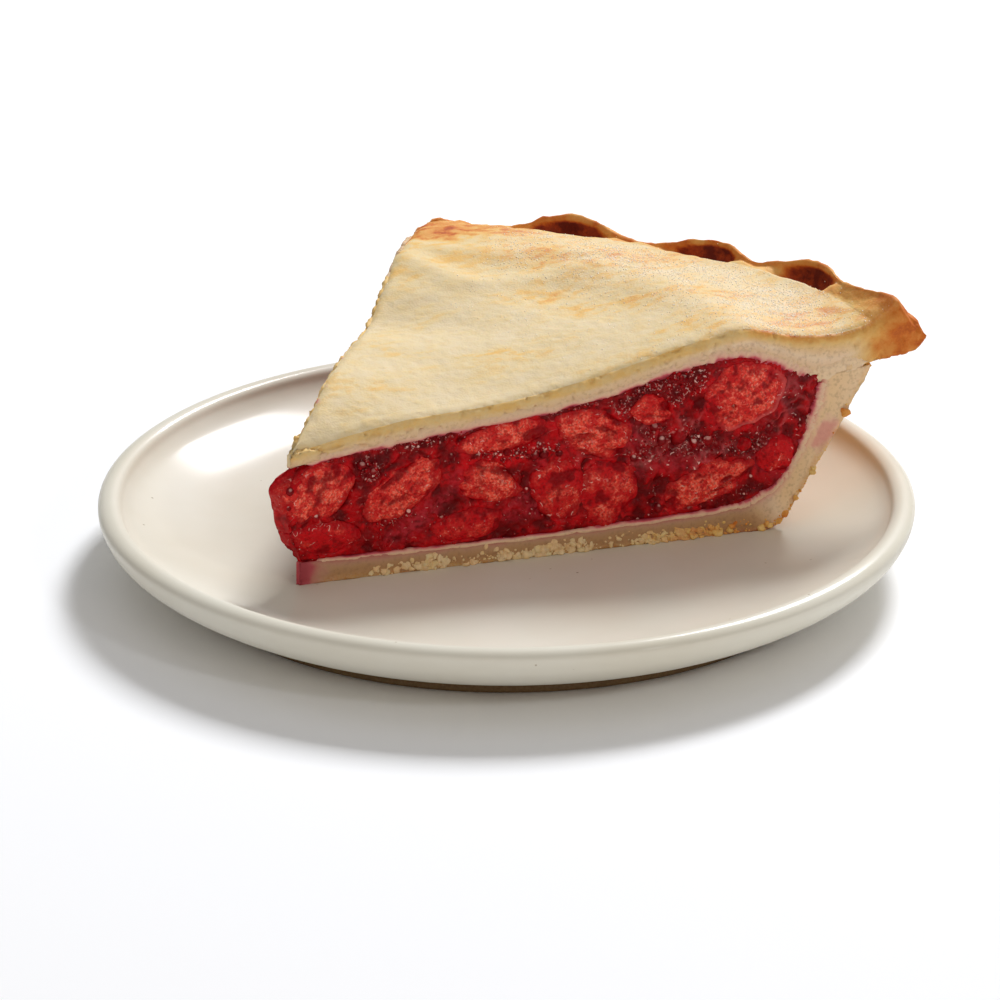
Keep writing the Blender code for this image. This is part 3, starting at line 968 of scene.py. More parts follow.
def onward(controls: Array, first: float, steps: int, last: float | None = None) -> Array:
    """The path through the controls in equal steps from just after first to last, or to its end."""
    end = len(controls) - 1 if last is None else last
    return through(controls, np.linspace(first, end, steps + 1)[1:])


@dataclass
class Slab:
    """The skin of the space between two paths, row by row. Share is 0 on the lower path and 1 on
    the upper one."""

    step: Array
    share: Array
    angle: Array
    thickness: Array
    on_cut: Array
    points: Array
    quads: Array

    @classmethod
    def between(cls, lower: Array, upper: Array, angle: Array, depth_steps: int) -> "Slab":
        """Fills the space between the paths.

        A point is lower + (upper - lower) times its share of the thickness, at its row's angle.

        Args:
            lower: array of places along the path, rows, and distance with height.
            upper: the same for the other path.
            angle: of each row.
            depth_steps: number of points from one path to the other.

        Returns:
            The slab.
        """
        places, quads = block_shell((len(upper), depth_steps, len(angle)))
        step, level, row = places.T
        share = level / (depth_steps - 1)
        across = upper[step, row] - lower[step, row]
        section = lower[step, row] + across * share[:, None]
        points = in_slice(section[:, 0], section[:, 1], angle[row])
        on_cut = (row == 0) | (row == len(angle) - 1)
        return cls(step, share, angle[row], np.linalg.norm(across, axis=1), on_cut, points, quads)

    def push_out(self, move: Array) -> None:
        """Moves each point along its normal, in mm."""
        self.points = self.points + normals_of(self.points, self.quads) * move[:, None]


@dataclass
class BakedLid:
    """The lid and its fluted edge in one, as a slab between an upper and a lower path."""

    shape: PieShape
    along_top: int = 262
    along_rim: int = 52
    rows: int = 104
    depth_steps: int = 12
    edge_radius: float = 2.4
    lobe_radius: float = 3.6
    edge_spread: float = 1.15
    under_rim: float = 31.9
    lobe_reach: float = 106.0
    flute_steps: int = 29  # along the upper path, past the lid's own edge
    crest_step: int = 30
    outer_step: int = 26
    crease_steps: int = 60
    seed: int = 21
    rolling: tuple[tuple[float, ...], ...] = ((0.956, 0.292, 0), (-0.292, 0.956, 0), (0, 0, 1))
    rolled_out: tuple[float, ...] = (0.4, 1, 1)
    creases: tuple[tuple[Points, float, float], ...] = (
        (((38.8, 71.0), (43.6, 62.0), (50.0, 53.0), (62.0, 50.0), (74.0, 50.0)), 0.9, 3.6),
        (((43.0, 74.0), (52.0, 68.0), (64.0, 62.0), (80.0, 55.0)), 0.5, 3.0),
    )
    shoulders: tuple[Patch, ...] = patches(
        (51, 82, 9, 6, -20, 0.7), (64, 78, 8, 5, -25, 0.55), (84, 54, 9, 4, -35, 0.2),
        (57, 44, 9, 3, -17, 0.14), (45, 19, 9, 2.5, -17, 0.14), (72, 30, 12, 4, -17, 0.18),
        (88, 26, 9, 4, -17, 0.2), (30, 26, 7, 2.5, -17, 0.08), (104, 8, 8, 5, 0, 0.2),
        (22, 12, 5, 2, -17, 0.1), (66, 60, 8, 5, -20, 0.16),
    )
    pale: tuple[Patch, ...] = patches(
        (46, 54, 9, 5, -30, 0.14), (62, 22, 9, 3, -17, 0.12), (52, 66, 8, 4, -30, 0.12),
        (96, 40, 8, 6, -45, 0.1),
    )

    def sections(self, angle: Array) -> tuple[Array, Array]:
        """The lower and the upper path at every row.

        Args:
            angle: of each row.

        Returns:
            Two arrays of places along the path, rows, and distance with height.
        """
        shape = self.shape
        edge, top = shape.rim_line(angle)
        wall_top = shape.wall_reach - shape.wall_pull(angle)
        under = np.full_like(angle, self.under_rim)
        thick = np.minimum(shape.rim_thickness, top - under)
        inner = smooth_curve(shape.lid_edge, angle)
        crest = edge - shape.rim_crest
        width = crest - inner
        pocket = shape.pocket_depth * shape.pocket_share(angle)
        share = np.linspace(0, 1, self.along_top)[:, None]
        upper_r = TIP_RADIUS + (inner - TIP_RADIUS) * share
        upper = np.stack([upper_r, shape.lid_height(upper_r, angle)], -1)
        inner_z = upper[-1, :, 1]
        rise = top - inner_z
        rim = np.stack([
            *upper[[-9, -1]],
            np.stack([inner + 0.15 * width, inner_z + 0.1 * rise - 0.65 * pocket], -1),
            np.stack([inner + 0.35 * width, inner_z + 0.3 * rise - pocket], -1),
            np.stack([inner + 0.82 * width, top - 0.5 - 0.8 * pocket], -1),
            np.stack([crest, top], -1),
            np.stack([edge - 3.0, top - 0.26 * thick], -1),
            np.stack([edge - 0.9, top - 0.48 * thick], -1),
            np.stack([edge, top - 0.68 * thick], -1),
        ])
        lower_r = TIP_RADIUS + (wall_top + 0.4 - TIP_RADIUS) * share
        lower = np.stack([lower_r, shape.lid_base(lower_r, angle)], -1)
        heel = np.stack([
            *lower[[-9, -1]],
            np.stack([np.maximum(edge - 4.2, wall_top + 0.7), np.maximum(top - thick, under)], -1),
            np.stack([edge - 1.6, top - 0.93 * thick], -1),
            np.stack([edge - 0.3, top - 0.8 * thick], -1),
        ])
        lower = np.concatenate([lower, onward(heel, 1, self.along_rim)])
        return lower, np.concatenate([upper, onward(rim, 1, self.along_rim)])

    def crease_height(self, points: Array) -> Array:
        """A low broad fold along each line: a bell of the distance to the nearest part of the line."""
        total = np.zeros(len(points))
        for line, rise, width in self.creases:
            knots = through(np.array(line), np.linspace(0, len(line) - 1, self.crease_steps))
            away = np.hypot(points[:, 0, None] - knots[:, 0], points[:, 1, None] - knots[:, 1])
            total += rise * bell(np.min(away, axis=1), width)
        return total

    def relief(self, slab: Slab, on_rim: Array, reach: Array, rolled: Array, noise: Noise) -> Array:
        """How far the surface stands out of the slab.

        Args:
            slab: the lid, with its edges rounded.
            on_rim: 0 on the lid, 1 on its fluted edge.
            reach: from the tip.
            rolled: the points, drawn together along the way that the dough was rolled.
            noise: random values.

        Returns:
            A distance for each point: over the rolled top, the ragged cuts and the fluted edge.
        """
        points, on_top, on_cut = slab.points, slab.share == 1, slab.on_cut
        top = 0.26 * noise.layers(rolled, 6.0, 3) + 0.07 * noise.layers(points, 1.3, 2)
        top += self.crease_height(points) * (1 - on_rim)
        top = top * (1 - on_rim) + on_rim * (0.5 * noise.layers(points, 3.4, 4))
        ragged = 0.3 * noise.layers(points, 1.1, 3) + 0.15 * noise.at(points, 3.0)
        pits = ease((noise.at(points, 0.9) - 0.45) / 0.2)
        ragged = ragged * (1 + 0.8 * ease((12 - reach) / 10)) - 0.5 * pits
        move = np.where(on_cut, ragged, np.where(on_top, top, 0.0))
        under_rim = (slab.share == 0) & ~on_cut & (on_rim > 0.4)
        move = np.where(under_rim, 0.3 * noise.layers(points, 2.5, 3), move)
        return np.where(on_top & on_cut, 0.5 * top + 0.2 * noise.layers(points, 3.0, 2), move)

    def masks(
        self, slab: Slab, on_rim: Array, reach: Array, rolled: Array, noise: Noise
    ) -> dict[str, Array | float]:
        """The values that the pastry's colours are made from.

        Args:
            slab: the finished lid.
            on_rim: 0 on the lid, 1 on its fluted edge.
            reach: from the tip.
            rolled: the points, drawn together along the way that the dough was rolled.
            noise: random values.

        Returns:
            A value for each point, by name.
        """
        points, share, angle, on_cut = slab.points, slab.share, slab.angle, slab.on_cut

        def uneven(mean: float, swing: float, size: float, count: int = 3) -> Array:
            """Values about a mean, in lumps of a size in mm."""
            return mean + swing * noise.layers(points, size, count)

        on_top, under_side = share == 1, (share == 0) & ~on_cut
        past_edge = slab.step - self.along_top
        below = (1 - share) * slab.thickness
        place = points[:, 0], points[:, 1], uneven(0.0, 0.25, 4.0)
        in_flute = ease((past_edge - 2) / 5) * ease((self.flute_steps - past_edge) / 5)
        pocket = self.shape.pocket_share(angle) * in_flute
        outer = ease((past_edge - self.outer_step) / 14)
        lobe = bell(angle, 7.0) * ease((reach - 103) / 8)
        lobe_back = bell(WEDGE - angle, 5.0) * ease((past_edge + 2) / 12)
        patchy = ease(0.45 + 0.9 * noise.layers(rolled, 13.0, 4, 0.7) - 0.6 * covered(self.pale, *place))
        golden = covered(self.shoulders, *place)
        outwards = ease((reach - 62) / 30)
        bake = np.maximum.reduce([
            uneven(0.06, 0.05, 3.0) + 0.45 * golden + 0.1 * patchy + 0.1 * outwards,
            uneven(0.0, 0.1, 3.0) + 0.42 * on_rim + 0.16 * bell(past_edge - self.crest_step, 9.0),
            uneven(0.52, 0.14, 2.4) * outer,
            uneven(0.88, 0.08, 2.0, 2) * ease(1.5 * pocket),
            (uneven(0.24, 0.1, 2.6) + 0.44 * ease((reach - self.lobe_reach) / 14)) * lobe,
            uneven(0.46, 0.12, 2.6) * lobe_back,
        ])
        right_edge = ease((reach - 84) / 8) * bell(below, 1.8) * (angle < 20)
        bake = np.where(on_cut, np.maximum(bake, 0.27 + 0.25 * right_edge), bake)
        bake = np.where(under_side, uneven(0.5, 0.12, 2.5, 2), bake)
        cut = np.where(on_cut, ease((below - 1.2 + 0.6 * place[2]) / 2.4), under_side)
        cut = np.where(under_side & (on_rim > 0.2), 0.0, cut * (1 - ease((reach - self.lobe_reach) / 8)))
        seam = bell(share * slab.thickness, np.maximum(uneven(0.3, 0.2, 2.2), 0.25))
        seam *= reach < self.lobe_reach
        back_edge = bell(cut_depths(points)[:, 1], 1.2) * (reach < 62) * on_top
        dots = ease((noise.at(points, 1.3) - 0.62) / 0.1) * back_edge
        stain = np.maximum(np.where(on_cut, 0.12 * seam, 0.0), 0.9 * dots)
        frost = ease((reach - 74) / 20) * uneven(0.45, 0.5, 7.0) + 0.12 * ease((reach - 40) / 30)
        frost *= ease((54 - angle) / 10) * (1 - ease(2 * pocket)) * (1 - outer) * (1 - 0.9 * on_rim)
        mottle = np.minimum(0.2 + 0.3 * patchy + 2.2 * golden + 0.3 * outwards, 1.0) * (1 - 0.5 * on_rim)
        return {
            "bake": bake,
            "cut": cut,
            "level": np.where(on_cut, 0.35 + 0.65 * ease(share / 0.8), share),
            "stain": np.where(under_side & (on_rim < 0.2), 0.6, stain),
            "frost": np.where(on_top, frost, 0.0),
            "mottle": np.where(on_top, mottle, 0.3),
        }

    def build(self, layout: Layout, material: bpy.types.Material) -> bpy.types.Object:
        """Fills the slab, rounds its cut edges, and works the surface."""
        noise = Noise(self.seed)
        angle = row_angles(self.rows)
        slab = Slab.between(*self.sections(angle), angle, self.depth_steps)
        points = self.shape.squeeze_lid(slab.points)
        on_rim = ease((slab.step - self.along_top + 14) / 30)
        reach = np.hypot(points[:, 0], points[:, 1])
        radius = self.edge_radius + (self.lobe_radius - self.edge_radius) * on_rim
        radius = np.minimum(radius, 0.1 + 0.35 * reach)
        radius = np.minimum(radius, 0.55 * np.maximum(slab.thickness, 0.6))
        slab.points = round_cut_edge(points, (1 - slab.share) * slab.thickness, radius, self.edge_spread)
        slab.quads = facing_out(slab.points, slab.quads)
        rolled = slab.points @ np.array(self.rolling).T * np.array(self.rolled_out)
        slab.push_out(self.relief(slab, on_rim, reach, rolled, noise))
        masks = self.masks(slab, on_rim, reach, rolled, noise)
        self.surface = (slab.points, slab.quads[(slab.share == 1)[slab.quads].all(axis=1)], masks["frost"])
        return write_piece(
            "baked_lid", slab.points, slab.quads, layout, material, "lid_crust", masks, ("lid_crust",)
        )


@dataclass
class BakedBase:
    """The bottom crust: a flat base that turns up into a slanted wall."""

    shape: PieShape
    along_base: int = 150
    along_turn: int = 34
    along_wall: int = 54
    rows: int = 92
    depth_steps: int = 14
    flat_inside: float = 84.0
    flat_outside: float = 90.0
    underside: float = -0.25
    heel: Points = (
        (88.0, -0.25), (90.0, -0.25), (92.6, -0.2), (94.4, 0.5), (96.1, 1.9), (98.6, 5.6), (100.8, 9.8)
    )
    tip_push: float = 0.8
    tip_push_reach: float = 5.0
    wall_juice: Patch = Patch(103.5, 17.5, 2.4, 3.6, -30, 0.45)
    seed: int = 34

    def sections(self, angle: Array) -> tuple[Array, Array]:
        """The outer and the inner path at every row, in three matching lengths.

        Args:
            angle: of each row.

        Returns:
            Two arrays of places along the path, rows, and distance with height.
        """
        shape = self.shape
        inner, outer = np.array(shape.crust_inner), np.array(shape.crust_outer)
        base = np.linspace(0, 1, self.along_base)
        inside = TIP_RADIUS + (self.flat_inside - TIP_RADIUS) * base
        upper = np.concatenate([
            np.stack([inside, smooth_curve(shape.crust_inner[:5], inside)], -1),
            onward(inner, 3, self.along_turn, 5.5),
            onward(inner, 5.5, self.along_wall),
        ])
        outside = TIP_RADIUS + (self.flat_outside - TIP_RADIUS) * base
        lower = np.concatenate([
            np.stack([outside, np.full(self.along_base, self.underside)], -1),
            onward(np.array(self.heel), 1, self.along_turn, 5),
            onward(outer, 2, self.along_wall),
        ])
        upper, lower = (np.repeat(path[:, None], len(angle), 1) for path in (upper, lower))
        shrink = np.minimum(shape.reach_in_plate(angle, np.zeros_like(angle)) / outer[0, 0], 1.0)
        lower[..., 0] *= 1 - (1 - shrink) * ease((7.0 - lower[..., 1]) / 7.0)
        lower[..., 0] -= shape.wall_pull(angle) * ease(lower[..., 1] / outer[-1, 1])
        lower[..., 0] = np.minimum(lower[..., 0], shape.reach_in_plate(angle[None], lower[..., 1]))
        return lower, upper

    def relief(self, slab: Slab, rough: Array, height: Array, noise: Noise) -> Array:
        """How far the surface stands out of the slab.

        Args:
            slab: the crust.
            rough: 1 where its cuts crumbled.
            height: of each point.
            noise: random values.

        Returns:
            A distance for each point: over the smooth and the crumbled cuts, and the wall.
        """
        points, on_cut, outside = slab.points, slab.on_cut, slab.share == 0
        flakes, _ = noise.cells(points * np.array([1, 1, 1.6]), 1.7)
        crumbly = 0.7 * (0.5 - flakes) + 0.3 * noise.layers(points, 1.1, 3)
        smooth_face = 0.1 * noise.layers(points, 1.6, 3)
        wall = 0.35 * noise.layers(points, 3.0, 4) * ease(height / 1.5)
        move = np.where(on_cut, smooth_face * (1 - rough) + crumbly * rough, 0.0)
        move = np.where(outside & ~on_cut, wall, move)
        return np.where(outside & on_cut, 0.5 * crumbly + 0.4 * wall, move)

    def masks(
        self, slab: Slab, rough: Array, on_wall: Array, height: Array, noise: Noise
    ) -> dict[str, Array | float]:
        """The values that the pastry's colours are made from.

        Args:
            slab: the finished crust.
            rough: 1 where its cuts crumbled.
            on_wall: 0 on the base, 1 on the wall.
            height: of each point.
            noise: random values.

        Returns:
            A value for each point, by name.
        """
        points, share, on_cut = slab.points, slab.share, slab.on_cut
        wobble = 0.3 * noise.layers(points, 3.0, 3)
        reach = np.hypot(points[:, 0], points[:, 1])
        line = bell((1 - share) * slab.thickness, 1.2 + 0.4 * noise.layers(points, 2.6, 2))
        tip_juice = 0.8 * ease((8.0 - reach + 5.0 * wobble) / 8)
        on_face = np.maximum(0.5 * line, self.wall_juice.cover(reach, height, 2.5 * wobble))
        stain = np.maximum(np.where(on_cut, on_face, 0.0), tip_juice)
        heel = bell(reach - 92, 9.0) * ease((5 - height) / 5)
        wall_bake = 0.5 + 0.14 * noise.layers(points, 5.0, 4) + 0.12 * ease((height - 20) / 8)
        bake = np.where(share == 0, wall_bake, 0.3) + 0.1 * heel
        return {
            "bake": np.where(on_cut, 0.42 + 0.3 * heel + 0.1 * wobble, bake),
            "cut": np.where(on_cut, 1 - 0.75 * ease((1.6 - share * slab.thickness + wobble) / 1.6), 0.0),
            "level": 0.04 + 0.7 * on_wall + 0.16 * share,
            "stain": np.where((share == 1) & ~on_cut, 0.6, stain),
            "frost": np.where(on_cut, 0.5 * rough, 0.0),
            "mottle": 0.5,
            "shade": np.where(on_cut, 0.35 * (1 - on_wall), 0.0),
        }

    def build(self, layout: Layout, material: bpy.types.Material) -> bpy.types.Object:
        """Fills the slab between the paths and roughens its cuts, its lower edge and its wall."""
        noise = Noise(self.seed)
        angle = row_angles(self.rows)
        slab = Slab.between(*self.sections(angle), angle, self.depth_steps)
        middle = math.radians(WEDGE / 2)
        slab.points = self.shape.push_tip(slab.points, self.tip_push, self.tip_push_reach, middle)
        slab.quads = facing_out(slab.points, slab.quads)
        on_wall = ease((slab.step - self.along_base) / 30)
        height = slab.points[:, 2] - BASE_HEIGHT
        lower_edge = ease((1.8 - height) / 1.6) * (1 - 0.5 * on_wall)
        rough = np.maximum(lower_edge, ease((3.0 - slab.share * slab.thickness) / 2.5) * on_wall)
        slab.push_out(self.relief(slab, rough, height, noise))
        slab.points[:, 2] = np.maximum(slab.points[:, 2], RESTING_HEIGHT)
        masks = self.masks(slab, rough, on_wall, height, noise)
        self.surface = (slab.points, slab.quads)
        return write_piece(
            "baked_base", slab.points, slab.quads, layout, material, "bottom_crust", masks, ("bottom_crust",)
        )


@dataclass
class TornCrumb:
    """Crumb that the knife dragged along a line on both cuts, over the seam of two layers."""

    name: str
    line: Points
    half_width: Points
    slot: str
    stain: tuple[float, float]
    seed: int
    level: float = 0.5
    proud: float = 0.16
    fringe: float = -0.3
    inset: float = 0.9
    step: float = 0.28
    across: int = 15

    def build(self, shape: PieShape, layout: Layout, material: bpy.types.Material) -> bpy.types.Object:
        """Carries a ragged lens along the line, on each cut.

        A point is the line's point plus its normal times the half width times its share across,
        and stands out of the cut by a dome that falls from proud to fringe at both edges.
        """
        noise = Noise(self.seed)
        line = np.array(self.line)
        steps = int(np.linalg.norm(np.diff(line, axis=0), axis=1).sum() / self.step)
        path = through(line, np.linspace(0, len(line) - 1, steps))
        tangent = np.gradient(path, axis=0)
        tangent /= np.linalg.norm(tangent, axis=1, keepdims=True)
        normal = np.stack([-tangent[:, 1], tangent[:, 0]], -1)
        places, quads = block_shell((steps, self.across, 2))
        s, t, k = places.T
        share = 2.0 * t / (self.across - 1) - 1
        width = smooth_curve(self.half_width, path[s, 0]) * ease(s / 5) * ease((steps - 1 - s) / 5)
        soaked = np.interp(share, (-1, 0, 1), (self.stain[0], 0.3 * sum(self.stain), self.stain[1]))
        parts, stains = [], []
        for side in range(2):
            flat = np.stack([self.step * s, 9.0 * np.sign(share), np.full(len(s), 20.0 * side)], -1)
            ragged = width * np.maximum(1 + 0.55 * noise.layers(flat, 2.6, 4, 0.7), 0.25)
            flat[:, 1] = share * ragged
            reach, height = (path[s] + normal[s] * flat[:, 1, None]).T
            dome = self.fringe + (self.proud - self.fringe) * (1 - np.abs(share) ** 2.4)
            dome += 0.16 * noise.layers(flat, 0.9, 3) * (np.abs(share) < 1)
            points = on_cut_face(reach, height, np.where(k == 1, dome, -self.inset), side)
            points = shape.squeeze_lid(points) if self.slot == "lid_crust" else points
            parts.append((points, facing_out(points, quads)))
            stains.append(soaked * (1 + 0.6 * noise.layers(flat, 2.4, 3)) * ease(3 * np.max(self.stain)))
        masks = {
            "bake": 0.2, "cut": 0.9, "level": self.level, "stain": np.concatenate(stains), "mottle": 0.3,
        }
        return write_piece(self.name, *joined(parts), layout, material, self.slot, masks)


def torn_crumbs() -> list[TornCrumb]:
    """The torn lines: under the lid, round the gel on the bottom crust, and where the crusts meet."""
    under = (
        (3, 24.0), (10, 25.2), (20, 26.3), (35, 27.7), (50, 29.4), (60, 31.0), (70, 33.6), (78, 35.4),
        (84, 36.1), (89, 35.8), (94, 34.0), (98, 32.0), (101, 30.9),
    )
    inside = (
        (3, 4.1), (15, 3.95), (30, 3.75), (50, 3.8), (70, 4.3), (84, 4.85), (90.2, 6.1), (95, 9.2),
        (98.6, 14.6), (100.6, 19.4), (102.5, 25.2), (103.2, 28.8),
    )
    seam = ((100.2, 30.6), (103, 30.7), (107, 31.3), (112.4, 32.0))
    under_width = ((0, 0.9), (40, 1.1), (60, 0.8), (80, 1.3), (101, 1.6))
    inside_width = ((0, 0.55), (70, 0.6), (90, 0.8), (104, 1.2))
    seam_width = ((100, 1.8), (107, 1.6), (113, 1.2))
    return [
        TornCrumb("torn_under_lid", under, under_width, "lid_crust", (0.9, 0.04), 61),
        TornCrumb("torn_inside_base", inside, inside_width, "bottom_crust", (0.04, 0.72), 62),
        TornCrumb("torn_seam", seam, seam_width, "bottom_crust", (0.0, 0.0), 63, 0.7),
    ]


# ---------------------------------------------------------------- the filling


class Cherry(Enum):
    """How the knife left a cherry."""

    CUT = "sliced across, showing its flesh"
    SKIN = "whole side, showing its skin under the juice"
    TORN = "pulled open"


@dataclass(frozen=True)
class SlicedCherry:
    """A cherry at one of the cuts: a lumpy flattened ball, nearly flat where the knife passed."""

    name: str
    reach: float
    height: float
    half_length: float
    half_height: float
    turn: float
    side: int
    seed: int
    kind: Cherry = Cherry.CUT
    glow: float = 0.6
    taper: float = 0.0
    hollows: tuple[Patch, ...] = ()
    ring: float = 0.0
    depth_share: float = 0.36
    inset: float = 1.2
    proud: float = 0.75
    fringe: float = -0.3
    step: float = 0.23
    fewest_steps: int = 30
    most_steps: int = 78

    FIRST_SEED = 100
    SEEDS_A_SIDE = 50

    def outline(self, phi: Array) -> Array:
        """How far out the cherry's edge lies in each direction, as a share of its ellipse."""
        waves = ((0.05, 2, 1.7), (0.05, 3, 1.0), (0.035, 5, 2.3), (0.02, 9, 4.1))
        return 1 + sum(size * np.sin(count * phi + shift * self.seed) for size, count, shift in waves)

    def cover(self, along: Array, up: Array) -> Array:
        """The distance of points on the cut from the cherry's middle, as a share of its outline."""
        x, y = turn_by(along - self.reach, up - self.height, -self.turn)
        a = x / self.half_length
        b = y / self.half_height / (1 - self.taper * np.clip(a, -1, 1))
        return np.hypot(a, b) / self.outline(np.arctan2(b, a))

    def face_relief(self, flat: Array, noise: Noise) -> Array:
        """The grain of the sliced face: lumps, and folds where the cherry was pulled open."""
        size = {Cherry.CUT: 0.34, Cherry.SKIN: 0.18, Cherry.TORN: 0.42}[self.kind]
        relief = size * noise.layers(flat, 3.0, 4, 0.56)
        if self.kind is Cherry.TORN:
            drawn = flat * np.array([0.35, 1.0, 1.0])
            relief += 0.55 * (0.4 - np.abs(noise.layers(drawn, 1.7, 2)))
        return relief

    def build(self, shape: PieShape, layout: Layout, material: bpy.types.Material) -> bpy.types.Object:
        """Makes the cherry as two sheets that share their edge.

        A square grid is pressed into a disc: x = a sqrt(1 - b b / 2) and y = b sqrt(1 - a a / 2).
        The back sheet is half a ball. The front sheet is a shallow dome that falls from proud in
        the middle to fringe at the outline, so that the gel's uneven face closes over its edge.
        """
        noise = Noise(self.FIRST_SEED + self.seed + self.SEEDS_A_SIDE * self.side)
        n = int(np.clip(2 * self.half_length / self.step, self.fewest_steps, self.most_steps))
        a, b = (grid.ravel() for grid in np.meshgrid(*[np.linspace(-1, 1, n)] * 2, indexing="ij"))
        x, y = a * np.sqrt(1 - b**2 / 2), b * np.sqrt(1 - a**2 / 2)
        rho = np.minimum(np.hypot(x, y), 1)
        lump = self.outline(np.arctan2(y, x))
        along = self.half_length * x * lump
        up = self.half_height * y * lump * (1 - self.taper * x)
        flat = np.stack([along, up, np.full_like(along, 9.0 * self.seed)], -1)
        ball = self.depth_share * (self.half_length + self.half_height) * np.sqrt(1 - rho**2)
        dome = self.fringe + (self.proud - self.fringe) * (1 - rho**2.4)
        front = np.where(rho < 1, dome, 0) - (self.inset + self.fringe) * ease((rho - 0.93) / 0.07)
        pits = covered(self.hollows, along / self.half_length, up / self.half_height)
        seam = self.ring * bell(rho - 0.86, 0.06) * ease(0.8 * x - y + 0.2)
        folds = self.face_relief(flat, noise)
        relief = (folds + 0.3 * seam - 1.3 * pits) * ease((1 - rho) / 0.1)
        x_turned, y_turned = turn_by(along, up, self.turn)
        reach, height = np.tile(self.reach + x_turned, 2), np.tile(self.height + y_turned, 2)
        points = on_cut_face(reach, height, np.concatenate([front + relief, -ball - self.inset]), self.side)
        for side in range(2):
            over = np.maximum(-cut_depths(points)[:, side] - self.proud - 0.6, 0)
            points[:, :2] -= over[:, None] * OUTWARD[side]
        points = shape.swell_filling(points)

        number = np.arange(2 * n * n).reshape(2, n, n)
        edge = np.ones((n, n), bool)
        edge[1:-1, 1:-1] = False
        number[1][edge] = number[0][edge]
        front_quads, back_quads = grid_quads(number[0]), grid_quads(number[1])[:, ::-1]
        used, quads = np.unique(np.concatenate([front_quads, back_quads]), return_inverse=True)
        quads, points = quads.reshape(-1, 4), points[used]

        patchy = noise.layers(flat, 3.4, 3)
        folds = (folds - folds.mean()) / folds.std()
        masks = {
            # Share of painted glint strokes.
            "glint_share": 0.8 * ease(0.2 + noise.at(flat, 3.0)),
            "rind": 0.8 * ease((rho - 0.74 + 0.3 * patchy) / 0.22),
            # Partly painted light: higher on raised folds.
            "glow": self.glow * (1.25 - rho**2) + 0.5 * patchy + 0.2 * folds,
            # Real pits, and painted shade in low folds.
            "pits_and_shade": np.maximum(pits, 0.75 * ease((-0.5 - folds) / 1.2)),
            "line": 0.7 * seam,
        }
        masks = {key: np.tile(values, 2)[used] for key, values in masks.items()}
        face = ("front_", "back_")[self.side] + self.name
        quads = facing_out(points, quads)
        return write_piece(
            "sliced_" + face, points, quads, layout, material, "cherry", masks, ("cherry_" + face,)
        )


def front_cherries() -> list[SlicedCherry]:
    """The cherries that show on the front cut."""
    cut, skin, torn = Cherry.CUT, Cherry.SKIN, Cherry.TORN
    long_hollow = patches((-0.05, -0.25, 0.1, 0.12, 0, 0.5))
    stone_mark = patches((-0.3, -0.25, 0.05, 0.06, 0, 0.7))
    low_hollow = patches((0.25, -0.5, 0.3, 0.08, 0, 0.5))
    curled_hollows = patches((-0.25, -0.2, 0.3, 0.14, 40, 0.5), (0.35, 0.1, 0.1, 0.2, 0, 0.4))
    rows = [
        ("tip_upper", 5.6, 18.7, 6.4, 5.9, 0, cut, 1.0),
        ("tip_lower", 6.2, 9.0, 6.3, 4.0, 0, skin, -0.3),
        ("torn_long", 20.5, 16.5, 9.2, 4.7, 36, torn, 0.85, -0.15, long_hollow),
        ("wedge", 37.6, 15.9, 7.2, 4.3, -22, torn, 0.9, 0.5),
        ("under_lid", 40.2, 24.9, 9.6, 3.2, 6, cut, 0.55),
        ("curled", 57.8, 23.4, 8.2, 5.2, -20, torn, 0.75, 0.0, curled_hollows),
        ("low_left", 50.8, 13.0, 5.8, 6.6, 10, cut, 0.3),
        ("low_right", 60.6, 11.6, 6.4, 6.9, 0, cut, 0.3),
        ("large", 87.6, 28.1, 8.3, 7.7, 5, cut, 0.6, 0.0, stone_mark, 0.7),
        ("slanted", 80.0, 10.8, 10.2, 4.2, 21, torn, 0.85, 0.0, low_hollow),
        ("fibre", 69.2, 26.8, 4.6, 3.1, -10, torn, 0.75),
        ("bottom", 33.2, 8.0, 7.6, 3.4, 4, skin, 0.1),
        ("by_wall", 94.2, 15.0, 4.2, 4.0, 30, skin, -0.1),
    ]
    return [SlicedCherry(*row[:6], 0, seed, *row[6:]) for seed, row in enumerate(rows)]


def back_cherries() -> list[SlicedCherry]:
    """The cherries that show on the back cut."""
    rows = [
        ("inner", 20.0, 17.4, 7.8, 6.4, 15, Cherry.CUT, 0.7),
        ("inner_low", 34.5, 10.2, 8.0, 5.0, -8, Cherry.SKIN, 0.3),
        ("upper", 42.0, 22.0, 9.2, 4.4, 4, Cherry.TORN, 0.8),
        ("middle", 57.0, 15.4, 8.4, 7.4, 0, Cherry.CUT, 0.5),
        ("outer", 74.0, 23.8, 8.4, 7.4, 12, Cherry.CUT, 0.65),
        ("outer_low", 80.4, 11.4, 9.2, 4.6, 14, Cherry.TORN, 0.8),
    ]
    return [SlicedCherry(*row[:6], 1, seed, *row[6:]) for seed, row in enumerate(rows)]


